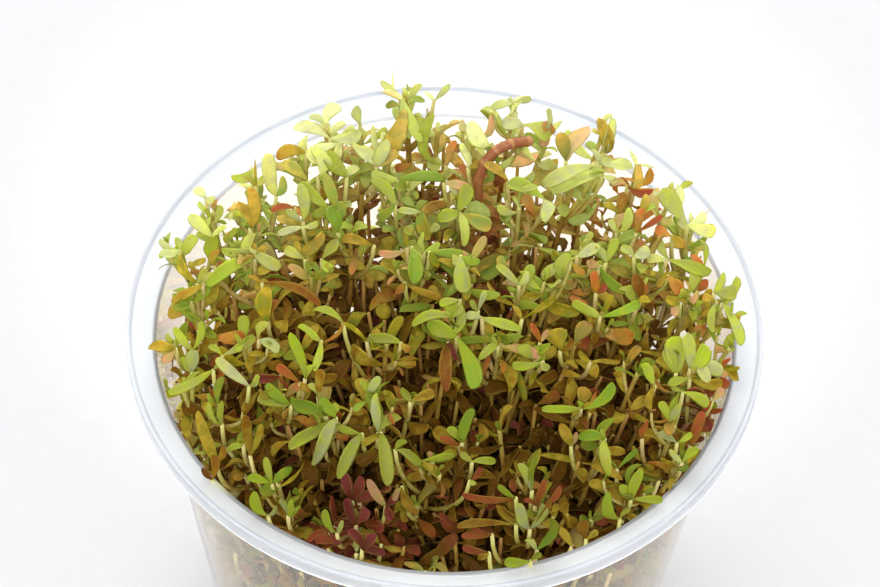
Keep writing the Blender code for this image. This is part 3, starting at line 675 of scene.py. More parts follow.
        colour = add_node(tree, "ValToRGB", {"Fac": age}, stops=self.ages)
        layers = [(blush, add_node(tree, "ValToRGB", {"Fac": age}, stops=self.blushes))]
        layers += self.marks(tree, age, across, near_rib, under)
        # Paler towards the back of the cup: partly young leaves, partly painted light
        layers.append((self.bleach(tree, age, chance, jar.outputs["Y"]), linear(self.pale_and_lit_tint)))
        for share, over in layers:
            colour = add_node(tree, "Mix", {0: share, 6: colour, 7: over}, out=2, data_type="RGBA")
        # Each leaf's own brightness and the mottle, at random, then painted shade towards the front and painted
        # light towards the back and by the side walls
        shades = [
            (own.outputs["Value"], (0.0, 1.0), self.own_shades),
            (mottle, (0.3, 0.7), self.patch_shades),
            (jar.outputs["Y"], [end * MM for end in self.painted_shade_depths], self.painted_shade_by_depth),
            (aside, [end * MM for end in self.painted_wall_light_reach], self.painted_wall_light),
        ]
        for value, ends, strengths in shades:
            shade = add_node(tree, "MapRange", {"Value": value} | span(*ends, *strengths))
            inputs = {0: 1.0, 6: colour, 7: shade}
            colour = add_node(tree, "Mix", inputs, out=2, data_type="RGBA", blend_type="MULTIPLY")

        relief = add_node(tree, "Math", {0: near_rib, 1: -0.8, 2: cells}, operation="MULTIPLY_ADD")
        cut = {"Strength": 0.35, "Distance": self.cell_depth * MM, "Height": relief}
        skin = {
            "Base Color": colour,
            "IOR": self.ior,
            "Specular IOR Level": self.specular,
            "Roughness": add_node(tree, "MapRange", {"Value": mottle} | span(0.0, 1.0, *self.wax)),
            "Normal": add_node(tree, "Bump", cut),
        }
        inputs = {0: 1.0, 6: colour, 7: self.glow}
        glow = add_node(tree, "Mix", inputs, out=2, data_type="RGBA", blend_type="MULTIPLY")
        outside = add_node(tree, "BsdfPrincipled", skin)
        inside = add_node(tree, "BsdfTranslucent", {"Color": glow})
        return add_node(tree, "MixShader", {0: self.through, 1: outside, 2: inside})


@dataclass(frozen=True)
class StemFinish(Finish):
    """Soft water-plant stem: watery and whitish green near the tip, olive and then brown lower down."""

    name: str = "rotala_stem"
    ages: tuple = (
        (0.0, "#dfe08e"),
        (0.2, "#cdca68"),
        (0.45, "#b99e3e"),
        (0.7, "#98722a"),
        (1.0, "#6c4a16"),
    )
    blushes: tuple = ((0.0, "#e2b7a4"), (0.5, "#b56a50"), (1.0, "#7c2f2c"))
    streak: float = 0.5
    streak_stretch: float = 0.18
    streak_depth: float = 0.08
    age_drift: float = 0.35
    roughness: float = 0.38
    ior: float = 1.40
    through: float = 0.35

    def surface(self, tree: bpy.types.NodeTree, coords: bpy.types.NodeSocket) -> bpy.types.NodeSocket:
        """Builds the surface, streaked along the stem's length.

        Args:
            tree: The material's node tree.
            coords: The object's coordinates, in metres.

        Returns:
            The shader's output.
        """
        told = add_node(tree, "SeparateXYZ", {0: add_node(tree, "UVMap", uv_map="leaf_tone")}, out=None)
        drawn = add_node(tree, "Mapping", {"Vector": coords, "Scale": (1.0, 1.0, self.streak_stretch)})
        streak = add_node(tree, "TexNoise", {"Vector": drawn, "Scale": per_mm(self.streak), "Detail": 3.0})
        centred = {0: streak, 1: self.age_drift, 2: -0.5 * self.age_drift}
        drift = add_node(tree, "Math", centred, operation="MULTIPLY_ADD")
        age = add_node(tree, "Math", {0: told.outputs[0], 1: drift}, operation="ADD", use_clamp=True)
        reach = add_node(tree, "Math", {0: streak, 1: 0.25}, operation="ADD")
        blush = add_node(tree, "Math", {0: told.outputs[1], 1: reach}, operation="MULTIPLY", use_clamp=True)
        plain = add_node(tree, "ValToRGB", {"Fac": age}, stops=self.ages)
        red = add_node(tree, "ValToRGB", {"Fac": age}, stops=self.blushes)
        colour = add_node(tree, "Mix", {0: blush, 6: plain, 7: red}, out=2, data_type="RGBA")
        cut = {"Strength": 0.4, "Distance": self.streak_depth * MM, "Height": streak}
        skin = {
            "Base Color": colour,
            "Roughness": self.roughness,
            "IOR": self.ior,
            "Normal": add_node(tree, "Bump", cut),
        }
        outside = add_node(tree, "BsdfPrincipled", skin)
        inside = add_node(tree, "BsdfTranslucent", {"Color": colour})
        return add_node(tree, "MixShader", {0: self.through, 1: outside, 2: inside})


@dataclass(frozen=True)
class ClearPlasticFinish(Finish):
    """Injection-moulded clear polypropylene, with its usual milky haze and a soft upright ripple."""

    name: str = "clear_polypropylene"
    tint: str = "#fcf4e4"
    clearness: float = 0.985
    haze: tuple = (0.01, 0.03)
    ior: float = 1.49
    ripple: float = 5.0
    ripple_stretch: float = 0.3
    ripple_depth: float = 0.1

    def surface(self, tree: bpy.types.NodeTree, coords: bpy.types.NodeSocket) -> bpy.types.NodeSocket:
        """Builds the surface.

        Args:
            tree: The material's node tree.
            coords: The object's coordinates, in metres.

        Returns:
            The shader's output.
        """
        drawn = add_node(tree, "Mapping", {"Vector": coords, "Scale": (1.0, 1.0, self.ripple_stretch)})
        ripple = add_node(tree, "TexNoise", {"Vector": drawn, "Scale": per_mm(self.ripple), "Detail": 2.0})
        cut = {"Strength": 0.15, "Distance": self.ripple_depth * MM, "Height": ripple}
        plastic = {
            "Base Color": linear(self.tint),
            "IOR": self.ior,
            "Transmission Weight": self.clearness,
            "Roughness": add_node(tree, "MapRange", {"Value": ripple} | span(0.0, 1.0, *self.haze)),
            "Normal": add_node(tree, "Bump", cut),
        }
        return add_node(tree, "BsdfPrincipled", plastic)


# The mould leaves the flange matt. Its crest, which is thicker, is greyer: partly its haze and partly a painted
# shade line along the edge
SATIN_PLASTIC = ClearPlasticFinish("satin_polypropylene", "#e1e4e8", 0.80, (0.38, 0.48))
EDGE_PLASTIC = ClearPlasticFinish("edge_polypropylene", "#b6bac1", 0.75, (0.30, 0.40))


@dataclass(frozen=True)
class GelFinish(Finish):
    """Set nutrient agar: a cloudy, watery amber jelly, whose skin is a little uneven."""

    name: str = "nutrient_agar"
    tints: tuple = ((0.0, "#dccb9a"), (1.0, "#efe3c2"))
    cloud: float = 4.0
    skin_depth: float = 0.25
    clearness: float = 0.8
    roughness: float = 0.3
    ior: float = 1.34

    def surface(self, tree: bpy.types.NodeTree, coords: bpy.types.NodeSocket) -> bpy.types.NodeSocket:
        """Builds the surface.

        Args:
            tree: The material's node tree.
            coords: The object's coordinates, in metres.

        Returns:
            The shader's output.
        """
        cloud = add_node(tree, "TexNoise", {"Vector": coords, "Scale": per_mm(self.cloud), "Detail": 3.0})
        cut = {"Strength": 0.3, "Distance": self.skin_depth * MM, "Height": cloud}
        jelly = {
            "Base Color": add_node(tree, "ValToRGB", {"Fac": cloud}, stops=self.tints),
            "IOR": self.ior,
            "Transmission Weight": self.clearness,
            "Roughness": self.roughness,
            "Normal": add_node(tree, "Bump", cut),
        }
        return add_node(tree, "BsdfPrincipled", jelly)


@dataclass(frozen=True)
class FloorFinish(Finish):
    """A sheet of white photographic paper, matt, and painted whitest close behind the cup as a painted patch of
    lamp light.
    """

    name: str = "studio_paper"
    # The paper's colour away from the painted light and within it
    tints: tuple = ((0.0, "#aeaeb0"), (1.0, "#d8d9db"))
    painted_light_middle: tuple = (0.0, 75.0, 0.0)
    painted_light_spread: tuple = (85.0, 10.0)
    fibre: float = 3.0
    grain: float = 0.1
    roughness: float = 0.95

    def surface(self, tree: bpy.types.NodeTree, coords: bpy.types.NodeSocket) -> bpy.types.NodeSocket:
        """Builds the surface.

        Args:
            tree: The material's node tree.
            coords: The object's coordinates, in metres.

        Returns:
            The shader's output.
        """
        fibre = add_node(tree, "TexNoise", {"Vector": coords, "Scale": per_mm(self.fibre), "Detail": 2.0})
        # Painted light: the paper is painted whiter close behind the cup, where the lamp lights it most
        ends = {0: coords, 1: tuple(Vector(self.painted_light_middle) * MM)}
        gap = add_node(tree, "VectorMath", ends, out="Value", operation="DISTANCE")
        reach = {"Value": gap} | span(*(end * MM for end in self.painted_light_spread))
        pool = add_node(tree, "MapRange", reach, interpolation_type="SMOOTHSTEP")
        centred = {0: fibre, 1: self.grain, 2: -0.5 * self.grain}
        grain = add_node(tree, "Math", centred, operation="MULTIPLY_ADD")
        white = add_node(tree, "Math", {0: pool, 1: grain}, operation="ADD", use_clamp=True)
        paper = {
            "Base Color": add_node(tree, "ValToRGB", {"Fac": white}, stops=self.tints),
            "Roughness": self.roughness,
            "Specular IOR Level": 0.0,
        }
        return add_node(tree, "BsdfPrincipled", paper)


def add_object(name: str, data: bpy.types.ID) -> bpy.types.Object:
    """Puts a mesh, a lamp or a camera into the scene, at the origin."""
    thing = bpy.data.objects.new(name, data)
    bpy.context.scene.collection.objects.link(thing)
    return thing


def to_object(bm: bmesh.types.BMesh, name: str) -> bpy.types.Object:
    """Turns a finished shape, which is in metres, into a smooth object."""
    mesh = bpy.data.meshes.new(name)
    bm.to_mesh(mesh)
    bm.free()
    mesh.shade_smooth()
    return add_object(name, mesh)


@dataclass(frozen=True)
class Viewpoint:
    """The photograph's viewpoint, which also finds the point of the crown that shows at a pixel."""

    elevation: float = 51.62
    roll: float = 2.04
    distance: float = 427.4
    target: tuple = (-0.855, 4.995, 65.0)
    focal_pixels: float = 3000.0
    size: tuple = (880, 587)
    sensor_width: float = 36.0

    def axes(self) -> tuple[Vector, Vector, Vector]:
        """Gives the camera's right, up and backward directions."""
        slope = math.radians(self.elevation)
        tilt = math.radians(self.roll)
        back = Vector((0.0, -math.cos(slope), math.sin(slope)))
        level = Vector((1.0, 0.0, 0.0))
        above = Vector((0.0, math.sin(slope), math.cos(slope)))
        right = level * math.cos(tilt) + above * math.sin(tilt)
        over = above * math.cos(tilt) - level * math.sin(tilt)
        return right, over, back

    def eye(self) -> Vector:
        """Gives the camera's place."""
        return Vector(self.target) + self.axes()[2] * self.distance

    def ray(self, pixel: tuple[float, float]) -> Vector:
        """Gives the direction in which a pixel looks."""
        right, over, back = self.axes()
        aside = (pixel[0] - self.size[0] / 2.0) / self.focal_pixels
        down = (pixel[1] - self.size[1] / 2.0) / self.focal_pixels
        return right * aside - over * down - back

    def at_height(self, pixel: tuple[float, float], height: float) -> Vector:
        """Gives the point that shows at a pixel and lies at a height."""
        ray = self.ray(pixel)
        return self.eye() + ray * ((height - self.eye().z) / ray.z)

    def at_depth(self, pixel: tuple[float, float], depth: float) -> Vector:
        """Gives the point that shows at a pixel and lies at a place along y."""
        ray = self.ray(pixel)
        return self.eye() + ray * ((depth - self.eye().y) / ray.y)

    def build(self) -> bpy.types.Object:
        """Makes the camera and gives it to the scene."""
        data = bpy.data.cameras.new("studio_camera")
        data.sensor_width = self.sensor_width
        data.lens = self.focal_pixels * data.sensor_width / self.size[0]
        camera = add_object("studio_camera", data)
        turned = Matrix(self.axes()).transposed().to_4x4()
        camera.matrix_world = Matrix.Translation(self.eye() * MM) @ turned
        bpy.context.scene.camera = camera
        return camera


@dataclass
class Leaf:
    """One leaf: where it springs from and ends, and how its blade is cut, arched, folded and turned."""

    base: Vector
    tip: Vector
    up: Vector
    width: float
    age: float
    blush: float
    outline: Outline
    bow: float
    fold: float
    twist: float
    sickle: float
    ripple: float
    fine: bool = True
    thickness: float = 0.14
    thickest: float = 1.15
    foot_share: float = 0.10
    twist_from: float = 0.3
    ripples: float = 8.0
    pole: float = 0.01
    under_from: float = -0.1

    def __post_init__(self) -> None:
        """Works out the leaf's length, its own directions, and the most that its outline's powers give."""
        self.axis = self.tip - self.base
        self.length = self.axis.length
        self.axis.normalize()
        self.side = self.axis.cross(self.up).normalized()
        self.over = self.side.cross(self.axis)
        to_base, to_tip = self.outline.value
        widest = to_base / (to_base + to_tip)
        self.most = widest ** to_base * (1.0 - widest) ** to_tip

    def half_width(self, along: float) -> float:
        """Gives half the blade's width at a share of its length."""
        to_base, to_tip = self.outline.value
        blade = along ** to_base * (1.0 - along) ** to_tip / self.most
        return self.width / 2.0 * (blade + self.foot_share * (1.0 - along))

    def press(self, ball: Vector) -> tuple[Vector, Vector]:
        """Presses a point of an upright ball of radius 1 into the leaf: pulled out, flat and cut to shape.

        Args:
            ball: The point of the ball.

        Returns:
            The point, and its place along and across the leaf, with a mark on the underside.
        """
        along = clamp((ball.z + 1.0) / 2.0)
        ring = math.sqrt(max(0.0, 1.0 - ball.z ** 2))
        across = clamp(ball.x / ring, -1.0) if ring > self.pole else 0.0
        lift = ball.y / ring if ring > self.pole else 0.0
        half = self.half_width(along)
        arch = 4.0 * along * (1.0 - along) * self.length
        turned = self.twist * (along - self.twist_from)
        wide = across * half
        wave = self.ripple * across * math.sin(self.ripples * along)
        high = (abs(across) * self.fold + wave) * half + lift * self.thickness * (self.thickest - along)
        sideways = wide * math.cos(turned) - high * math.sin(turned) + self.sickle * arch
        upwards = wide * math.sin(turned) + high * math.cos(turned) + self.bow * arch
        point = self.base + self.axis * (self.length * along) + self.side * sideways + self.over * upwards
        mark = UNDERSIDE_MARK if lift < self.under_from else 0.0
        return point, Vector((along, across + mark, 0.0))


@dataclass(frozen=True)
class Habit:
    """How much the leaves of a kind differ in form: means and spreads, or the two ends of a range."""

    outlines: tuple[Outline, ...]
    bow: tuple[float, float]
    fold: tuple[float, float]
    twist: float
    sickle: float = 0.09
    ripple: float = 0.3

    def draw(self, chance: random.Random, narrow: bool = False) -> dict:
        """Draws one leaf's form.

        Args:
            chance: The plant's own chance.
            narrow: Whether the leaf is too narrow to be anything but a lance.

        Returns:
            The form, by the names of a leaf's fields.
        """
        return {
            "outline": Outline.LANCE if narrow else chance.choice(self.outlines),
            "bow": chance.gauss(*self.bow),
            "fold": chance.uniform(*self.fold),
            "twist": chance.gauss(0.0, self.twist),
            "sickle": chance.gauss(0.0, self.sickle),
            "ripple": chance.uniform(-self.ripple, self.ripple),
        }


PAIR_OUTLINES = (Outline.SPOON, Outline.SPOON, Outline.OVAL, Outline.LANCE)
PAIR_HABIT = Habit(PAIR_OUTLINES, bow=(0.06, 0.13), fold=(-0.2, 1.1), twist=1.0)
CROWN_HABIT = Habit((Outline.SPOON, Outline.OVAL), bow=(0.07, 0.10), fold=(0.0, 1.1), twist=0.8)


def new_part() -> tuple[bmesh.types.BMesh, object, object]:
    """Starts an empty mesh whose vertices keep a place on their leaf and a tone, and gives both layers."""
    part = bmesh.new()
    layers = part.verts.layers.float_vector
    for name in ("place", "tone"):
        layers.new(name)
    return part, layers["place"], layers["tone"]


def leaf_blank(faces: int) -> bpy.types.Mesh:
    """Makes the ball of radius 1 that a leaf is pressed from, with so many faces round it and along it."""
    part, _, _ = new_part()
    bmesh.ops.create_uvsphere(part, u_segments=faces, v_segments=faces, radius=1.0)
    blank = bpy.data.meshes.new("leaf_blank")
    part.to_mesh(blank)
    part.free()
    return blank


class PlantMesh:
    """A plant's mesh while it grows. Every vertex keeps its place on its leaf and its tone."""

    def __init__(self, cup: "Cup", blanks: dict[bool, bpy.types.Mesh]) -> None:
        """Starts an empty mesh that keeps inside a cup, with balls for its fine and coarse leaves."""
        self.cup = cup
        self.blanks = blanks
        self.bm, self.place, self.tone = new_part()
        self.scrap = bpy.data.meshes.new("scrap")

    def add(self, source: bpy.types.Mesh) -> list[bmesh.types.BMVert]:
        """Adds a small mesh to the plant.

        Args:
            source: The small mesh.

        Returns:
            Its vertices in the plant.
        """
        first = len(self.bm.verts)
        self.bm.from_mesh(source)
        self.bm.verts.ensure_lookup_table()
        return self.bm.verts[first:]

    def tube(
        self,
        path: list[Vector],
        radii: Sequence[float],
        ages: Sequence[float],
        blush: float,
        sides: int = 6,
    ) -> None:
        """Grows a stem or root along a path.

        Args:
            path: The points of its centre line.
            radii: Its radius at each point.
            ages: Its age at each point, for its colour.
            blush: Its blush of red.
            sides: How many sides it has.
        """
        part, _, tone = new_part()
        aim = (path[1] - path[0]).normalized()
        first = (path[1] - path[0]).length
        bmesh.ops.create_cone(
            part, cap_ends=True, segments=sides, radius1=radii[0], radius2=radii[1], depth=first
        )
        face = max(part.faces, key=lambda each: each.calc_center_median().z)
        turn = UP.rotation_difference(aim).to_matrix()
        for vert in part.verts:
            vert[tone] = Vector((ages[1] if vert.co.z > 0.0 else ages[0], blush, 0.0))
            vert.co = (path[0] + path[1]) / 2.0 + turn @ vert.co
        for index in range(2, len(path)):
            onward = (path[min(index + 1, len(path) - 1)] - path[index - 1]).normalized()
            turn = aim.rotation_difference(onward).to_matrix()
            face = bmesh.ops.extrude_discrete_faces(part, faces=[face])["faces"][0]
            growth = radii[index] / radii[index - 1]
            for vert in face.verts:
                vert.co = path[index] + turn @ (vert.co - path[index - 1]) * growth
                vert[tone] = Vector((ages[index], blush, 0.0))
            aim = onward
        for face in part.faces:
            face.material_index = Layer.STEM.value
        part.to_mesh(self.scrap)
        part.free()
        self.add(self.scrap)

    def leaf(self, leaf: Leaf) -> None:
        """Grows a leaf: a ball that is pressed into the leaf's shape and kept inside the cup.

        Args:
            leaf: The leaf.
        """
        for vert in self.add(self.blanks[leaf.fine]):
            point, place = leaf.press(vert.co)
            vert.co = self.cup.keep_inside(point)
            vert[self.place] = place
            vert[self.tone] = Vector((leaf.age, leaf.blush, 0.0))

    def finish(self, name: str, materials: dict[Layer, bpy.types.Material]) -> bpy.types.Object:
        """Turns the mesh into an object.

        Args:
            name: The object's name.
            materials: The materials of its slots.

        Returns:
            The object, at the origin.
        """
        bpy.data.meshes.remove(self.scrap)
        bmesh.ops.scale(self.bm, verts=self.bm.verts, vec=(MM, MM, MM))
        bmesh.ops.recalc_face_normals(self.bm, faces=self.bm.faces)
        thing = to_object(self.bm, name)
        mesh = thing.data
        corners = np.empty(len(mesh.loops), dtype=np.int32)
        mesh.loops.foreach_get("vertex_index", corners)
        for source in ("place", "tone"):
            values = np.empty(len(mesh.vertices) * 3, dtype=np.float32)
            mesh.attributes[source].data.foreach_get("vector", values)
            uv_map = mesh.uv_layers.new(name=f"leaf_{source}")
            uv_map.data.foreach_set("uv", values.reshape(-1, 3)[corners, :2].ravel())
            mesh.attributes.remove(mesh.attributes[source])
        for layer in Layer:
            mesh.materials.append(materials[layer])
        return thing


@dataclass
class Cup:
    """The tub: its floor, tapered wall, mouth, broad flange that rises to a crest, and turned-down lip."""

    floor_radius: float = 34.0
    floor_height: float = 1.2
    floor_corner: float = 1.5
    mouth_radius: float = 40.9
    mouth_height: float = 63.2
    rim_radius: float = 45.0
    crest_width: float = 0.4
    crest_drop: float = 0.16
    lip_drop: float = 2.4
    lip_depth: float = 0.5
    lip_margin: float = 0.1
    satin_drop: float = 1.6
    wall: float = 0.6
    rounding: float = 0.22
    clearance: float = 0.3
    rim_clearance: float = 1.0
    highest: float = 81.6
    steps: int = 144

    def wall_radius(self, height: float) -> float:
        """Gives the inner radius of the tapered wall at a height."""
        foot = self.floor_height + self.floor_corner
        share = (height - foot) / (self.mouth_height - foot)
        return self.floor_radius + (self.mouth_radius - self.floor_radius) * share

    def keep_inside(self, point: Vector) -> Vector:
        """Presses a point that would pass through the wall, or reach out past the rim, back against it.

        Args:
            point: The point.

        Returns:
            The point, moved towards the axis where it had to be.
        """
        point.z = min(point.z, self.highest)
        if point.z < self.mouth_height:
            limit = self.wall_radius(point.z) - self.clearance
        else:
            climb = min(1.0, (point.z - self.mouth_height) / (RIM_HEIGHT - self.mouth_height))
            broad = self.rim_radius - self.rim_clearance - self.mouth_radius
            limit = self.mouth_radius - self.clearance + broad * climb
        reach = math.hypot(point.x, point.y)
        if reach > limit:
            point.x *= limit / reach
            point.y *= limit / reach
        return point

    def profile(self) -> list[tuple[float, float]]:
        """Gives the cup's section, from the axis inside, over the rim and back to the axis outside."""
        crest_inside = self.rim_radius - self.crest_width
        lip_foot = RIM_HEIGHT - self.lip_drop
        return [
            (0.0, self.floor_height),
            (self.floor_radius - self.floor_corner, self.floor_height),
            (self.floor_radius, self.floor_height + self.floor_corner),
            (self.mouth_radius, self.mouth_height),
            (crest_inside, RIM_HEIGHT),
            (self.rim_radius, RIM_HEIGHT),
            (self.rim_radius, lip_foot),
            (self.rim_radius - self.wall, lip_foot),
            (self.rim_radius - self.wall, RIM_HEIGHT - self.wall),
            (crest_inside, RIM_HEIGHT - self.wall),
            (self.mouth_radius + self.wall, self.mouth_height - self.wall),
            (self.floor_radius + self.wall, self.floor_height + self.floor_corner),
            (self.floor_radius - self.wall, 0.0),
            (0.0, 0.0),
        ]

    def build(self, finishes: list[ClearPlasticFinish]) -> bpy.types.Object:
        """Spins the cup and rounds its edges.

        Args:
            finishes: The plastic of the clear tub, of the satin flange and of the crest.

        Returns:
            The cup, which replaces the solid of the same name.
        """
        cup = spin_profile("clear_cup", self.profile(), self.steps, self.rounding)
        for finish in finishes:
            cup.data.materials.append(finish.build())
        outside = (self.rim_radius - self.wall - self.lip_depth) * MM
        lip_foot = RIM_HEIGHT - self.lip_drop - self.lip_margin
        flange_foot = self.mouth_height - self.satin_drop
        crest_foot = RIM_HEIGHT - self.crest_drop
        # The crest gets the grey edge plastic, partly a painted shade line
        for face in cup.data.polygons:
            height = face.center.z / MM
            satin_foot = lip_foot if face.center.xy.length > outside else flange_foot
            face.material_index = 2 if height > crest_foot else 1 if height > satin_foot else 0
        # Clear plastic lets the light in to the plants, where its shadow would be as dark as a solid wall's
        cup.visible_shadow = False
        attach(cup, "root")
        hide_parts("cup")
        return cup


@dataclass
class CultureGel:
    """The disc of set nutrient gel, which creeps a little up the wall."""

    foot: float = 1.5
    foot_radius: float = 32.2
    corner_radius: float = 33.7
    corner_height: float = 3.0
    edge_radius: float = 34.87
    meniscus_rise: float = 0.5
    meniscus_width: float = 1.2
    rounding: float = 0.2
    steps: int = 96

    def build(self, finish: GelFinish) -> bpy.types.Object:
        """Spins the gel.

        Args:
            finish: The jelly.

        Returns:
            The gel, which replaces the solid of the same name.
        """
        profile = [
            (0.0, GEL_HEIGHT),
            (self.edge_radius - self.meniscus_width, GEL_HEIGHT),
            (self.edge_radius, GEL_HEIGHT + self.meniscus_rise),
            (self.corner_radius, self.corner_height),
            (self.foot_radius, self.foot),
            (0.0, self.foot),
        ]
        gel = spin_profile("nutrient_gel_disc", profile, self.steps, self.rounding)
        gel.data.materials.append(finish.build())
        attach(gel, "root")
        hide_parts("culture_gel")
        return gel


def with_supports(
    profile: list[tuple[float, float]], inset: float = 0.5, most: float = 0.3
) -> list[tuple[float, float]]:
    """Adds a point near both ends of every long stretch, so that smooth shading turns at the corners alone.

    Args:
        profile: The section's radii and heights.
        inset: How far from its ends a stretch gets a point, in millimetres.
        most: The share of a stretch that this may be. Shorter ones get no point.

    Returns:
        The section with the added points.
    """
    refined = [profile[0]]
    for (radius, height), (next_radius, next_height) in zip(profile, profile[1:]):
        run = next_radius - radius
        rise = next_height - height
        near = inset / math.hypot(run, rise)
        for share in (near, 1.0 - near) if near < most else ():
            refined.append((radius + run * share, height + rise * share))
        refined.append((next_radius, next_height))
    return refined


def is_level_corner(edge: bmesh.types.BMEdge, least: float = 12.0, slack: float = 0.001) -> bool:
    """Tells whether an edge runs level round a turned shape, where its section has a corner.

    Args:
        edge: The edge.
        least: The angle in degrees from which a bend is a corner.
        slack: How far from level and from the circle its ends may be.

    Returns:
        Whether it is such an edge.
    """
    first, last = (vert.co for vert in edge.verts)
    level = abs(first.z - last.z) < slack and abs(first.xy.length - last.xy.length) < slack
    return level and edge.calc_face_angle(0.0) > math.radians(least)


def spin_profile(
    name: str, profile: list[tuple[float, float]], steps: int, rounding: float
) -> bpy.types.Object:
    """Spins a section about the vertical axis into a closed form and rounds its edges.

    Args:
        name: The object's name.
        profile: The section's radii and heights, from the axis to the axis.
        steps: How many steps a full turn has.
        rounding: The width of the rounding, in millimetres.

    Returns:
        The object, smooth, at the origin.
    """
    bm = bmesh.new()
    points = [bm.verts.new((radius, 0.0, height)) for radius, height in with_supports(profile)]
    edges = [bm.edges.new(pair) for pair in zip(points, points[1:])]
    bmesh.ops.spin(
        bm,
        geom=points + edges,
        cent=(0.0, 0.0, 0.0),
        axis=UP,
        angle=2.0 * math.pi,
        steps=steps,
        use_merge=True,
    )
    bmesh.ops.remove_doubles(bm, verts=bm.verts, dist=0.001)
    bmesh.ops.recalc_face_normals(bm, faces=bm.faces)
    bmesh.ops.bevel(
        bm,
        geom=[edge for edge in bm.edges if is_level_corner(edge)],
        offset=rounding,
        offset_type="OFFSET",
        segments=3,
        profile=0.5,
        affect="EDGES",
        clamp_overlap=True,
        material=-1,
    )
    bmesh.ops.scale(bm, verts=bm.verts, vec=(MM, MM, MM))
    return to_object(bm, name)


@dataclass
class Stem:
    """One upright stem's centre line, from its root to its tip, on the same curve as its solid."""

    root: Vector
    tip: Vector
    sway: Vector
    quarter: float
    overhang: list[Vector] = field(default_factory=list)

    def share(self, height: float) -> float:
        """Tells how far up the stem a height is, from 0 at the root to 1 at the tip."""
        return clamp((height - self.root.z) / (self.tip.z - self.root.z))

    def at(self, height: float) -> Vector:
        """Gives the centre at a height."""
        share = self.share(height)
        lean = share ** LEAN_POWER
        point = self.root + (self.tip - self.root) * lean + self.sway * math.sin(2.0 * math.pi * share)
        return Vector((point.x, point.y, height))

    def radius(self, height: float) -> float:
        """Gives the stem's radius at a height."""
        return STEM_HALF + (STEM_TIP_HALF - STEM_HALF) * self.share(height)


@dataclass
class SideStem(Stem):
    """A side stem, which leaves its parent at a fork and draws away from it as both rise."""

    parent: Stem | None = None
    start: Vector = field(default_factory=Vector)
    reach: Vector = field(default_factory=Vector)

    def at(self, height: float) -> Vector:
        """Gives the centre at a height: the parent's, and the part of the way out that is grown there."""
        return self.parent.at(height) + self.start + (self.reach - self.start) * self.share(height)

    def radius(self, height: float) -> float:
        """Gives the side stem's radius at a height."""
        return SIDE_HALF + (STEM_TIP_HALF - SIDE_HALF) * self.share(height)


@dataclass
class Spray:
    """A short twig of the crown with the leaves that spring from its end."""

    base: Vector
    leaves: list[tuple[Vector, float, Tone]]


def curve(points: list[Vector], steps: int) -> list[Vector]:
    """Runs a smooth curve from the first of three points to the last.

    Args:
        points: The start, the point that it bends towards, and the end.
        steps: How many stretches it has.

    Returns:
        The points of the curve.
    """
    start, bend, end = points
    made = []
    for step in range(steps + 1):
        share = step / steps
        made.append(start * (1.0 - share) ** 2 + bend * 2.0 * share * (1.0 - share) + end * share ** 2)
    return made


@dataclass(frozen=True)
class Ageing:
    """How leaves and stems age with their depth below the tip, and how much paler the back is painted, as
    painted light.
    """

    tip_age: float = 0.18
    reach: float = 20.0
    # Painted light: towards the back leaves age slower and are painted younger, so that they look lit
    painted_light_reach: float = 7.0
    painted_light_youth: float = 0.16
    drift: float = 0.08
    olive: float = 0.12
    high_depth: float = 12.0
    most_high: float = 0.86
    most_low: float = 0.94
    blush: float = 0.10
    blushing_share: float = 0.20
    blushes: tuple = (0.3, 0.9)
    red_ages: tuple = (0.78, 0.96)
    # Painted light on red leaves at the back: painted younger and less red
    red_painted_light_youth: float = 0.28
    red_blush: float = 0.85
    red_painted_light_fading: float = 0.45
    stem_tip_age: float = 0.15
    stem_reach: float = 40.0
    stem_olive: float = 0.15
    stem_blush: float = 0.15
    red_stem_blush: float = 0.9


@dataclass(frozen=True)
class StemForm:
    """How a stem is drawn. Bends and caps have their place, their share of the bent radius and their age."""

    step: float = 4.0
    least_step: float = 0.15
    end: float = 0.2
    clear: float = 1.0
    node_half: float = 0.5
    node_swelling: float = 1.25
    bends: tuple = ((0.2, 0.97, 0.7), (0.85, 0.97, 0.7), (1.0, 1.04, 0.42))
    caps: tuple = ((0.6, 0.85, 0.3), (0.95, 0.4, 0.3))
    swelling_rings: int = 7
    swelling_age: float = 0.5
    planted: float = 4.0
    side_start: float = 0.5
    lowest_pair: float = 4.0
    bud_drop: float = 0.3
    bud: tuple = (2.2, 0.9, 66.0)
    bud_radius: float = 0.1


@dataclass(frozen=True)
class PairForm:
    """How far the two leaves of a pair stray from the size and direction that their place calls for."""

    lengths: tuple = (0.65, 1.12)
    widths: tuple = (0.50, 1.0)
    climb: float = 10.0
    turn: float = 0.15
    roll: float = 0.6
    foot: float = 0.5


@dataclass(frozen=True)
class BranchForm:
    """A short branch, whose run and rises are shares of its length. Its ages are shares of the stem's."""

    pairs: tuple = (1, 2, 3, 4)
    share: float = 0.62
    turn: float = 0.4
    lengths: tuple = (2.5, 6.5)
    run: float = 0.55
    rises: tuple = (0.2, 0.85)
    radii: tuple = (0.3, 0.3, 0.28, 0.25, 0.2)
    ages: tuple = (0.8, 0.8, 0.5, 0.5, 0.5)
    blush: float = 0.3
    pair: tuple = (3.4, 1.5, 24.0)
    pair_rise: float = 2.0
    pair_radius: float = 0.2
    bud_rise: float = 4.0


@dataclass(frozen=True)
class LowShootForm:
    """A thin, lower shoot of a clump. The heights are shares of the way from the gel to the plant's tip."""

    heights: tuple
    tip_age: float
    bare_share: float
    ceiling: float = math.inf
    tones: tuple = ()
    rings: int = 10
    planted: float = 2.0
    radius: float = 0.48
    taper: float = 0.020
    foot_age: float = 0.4
    leaf_radius: float = 0.4
    blushes: tuple = (0.1, 0.6)
    sizes: tuple = ((3.2, 6.8), (1.7, 3.2), (-35.0, 25.0))


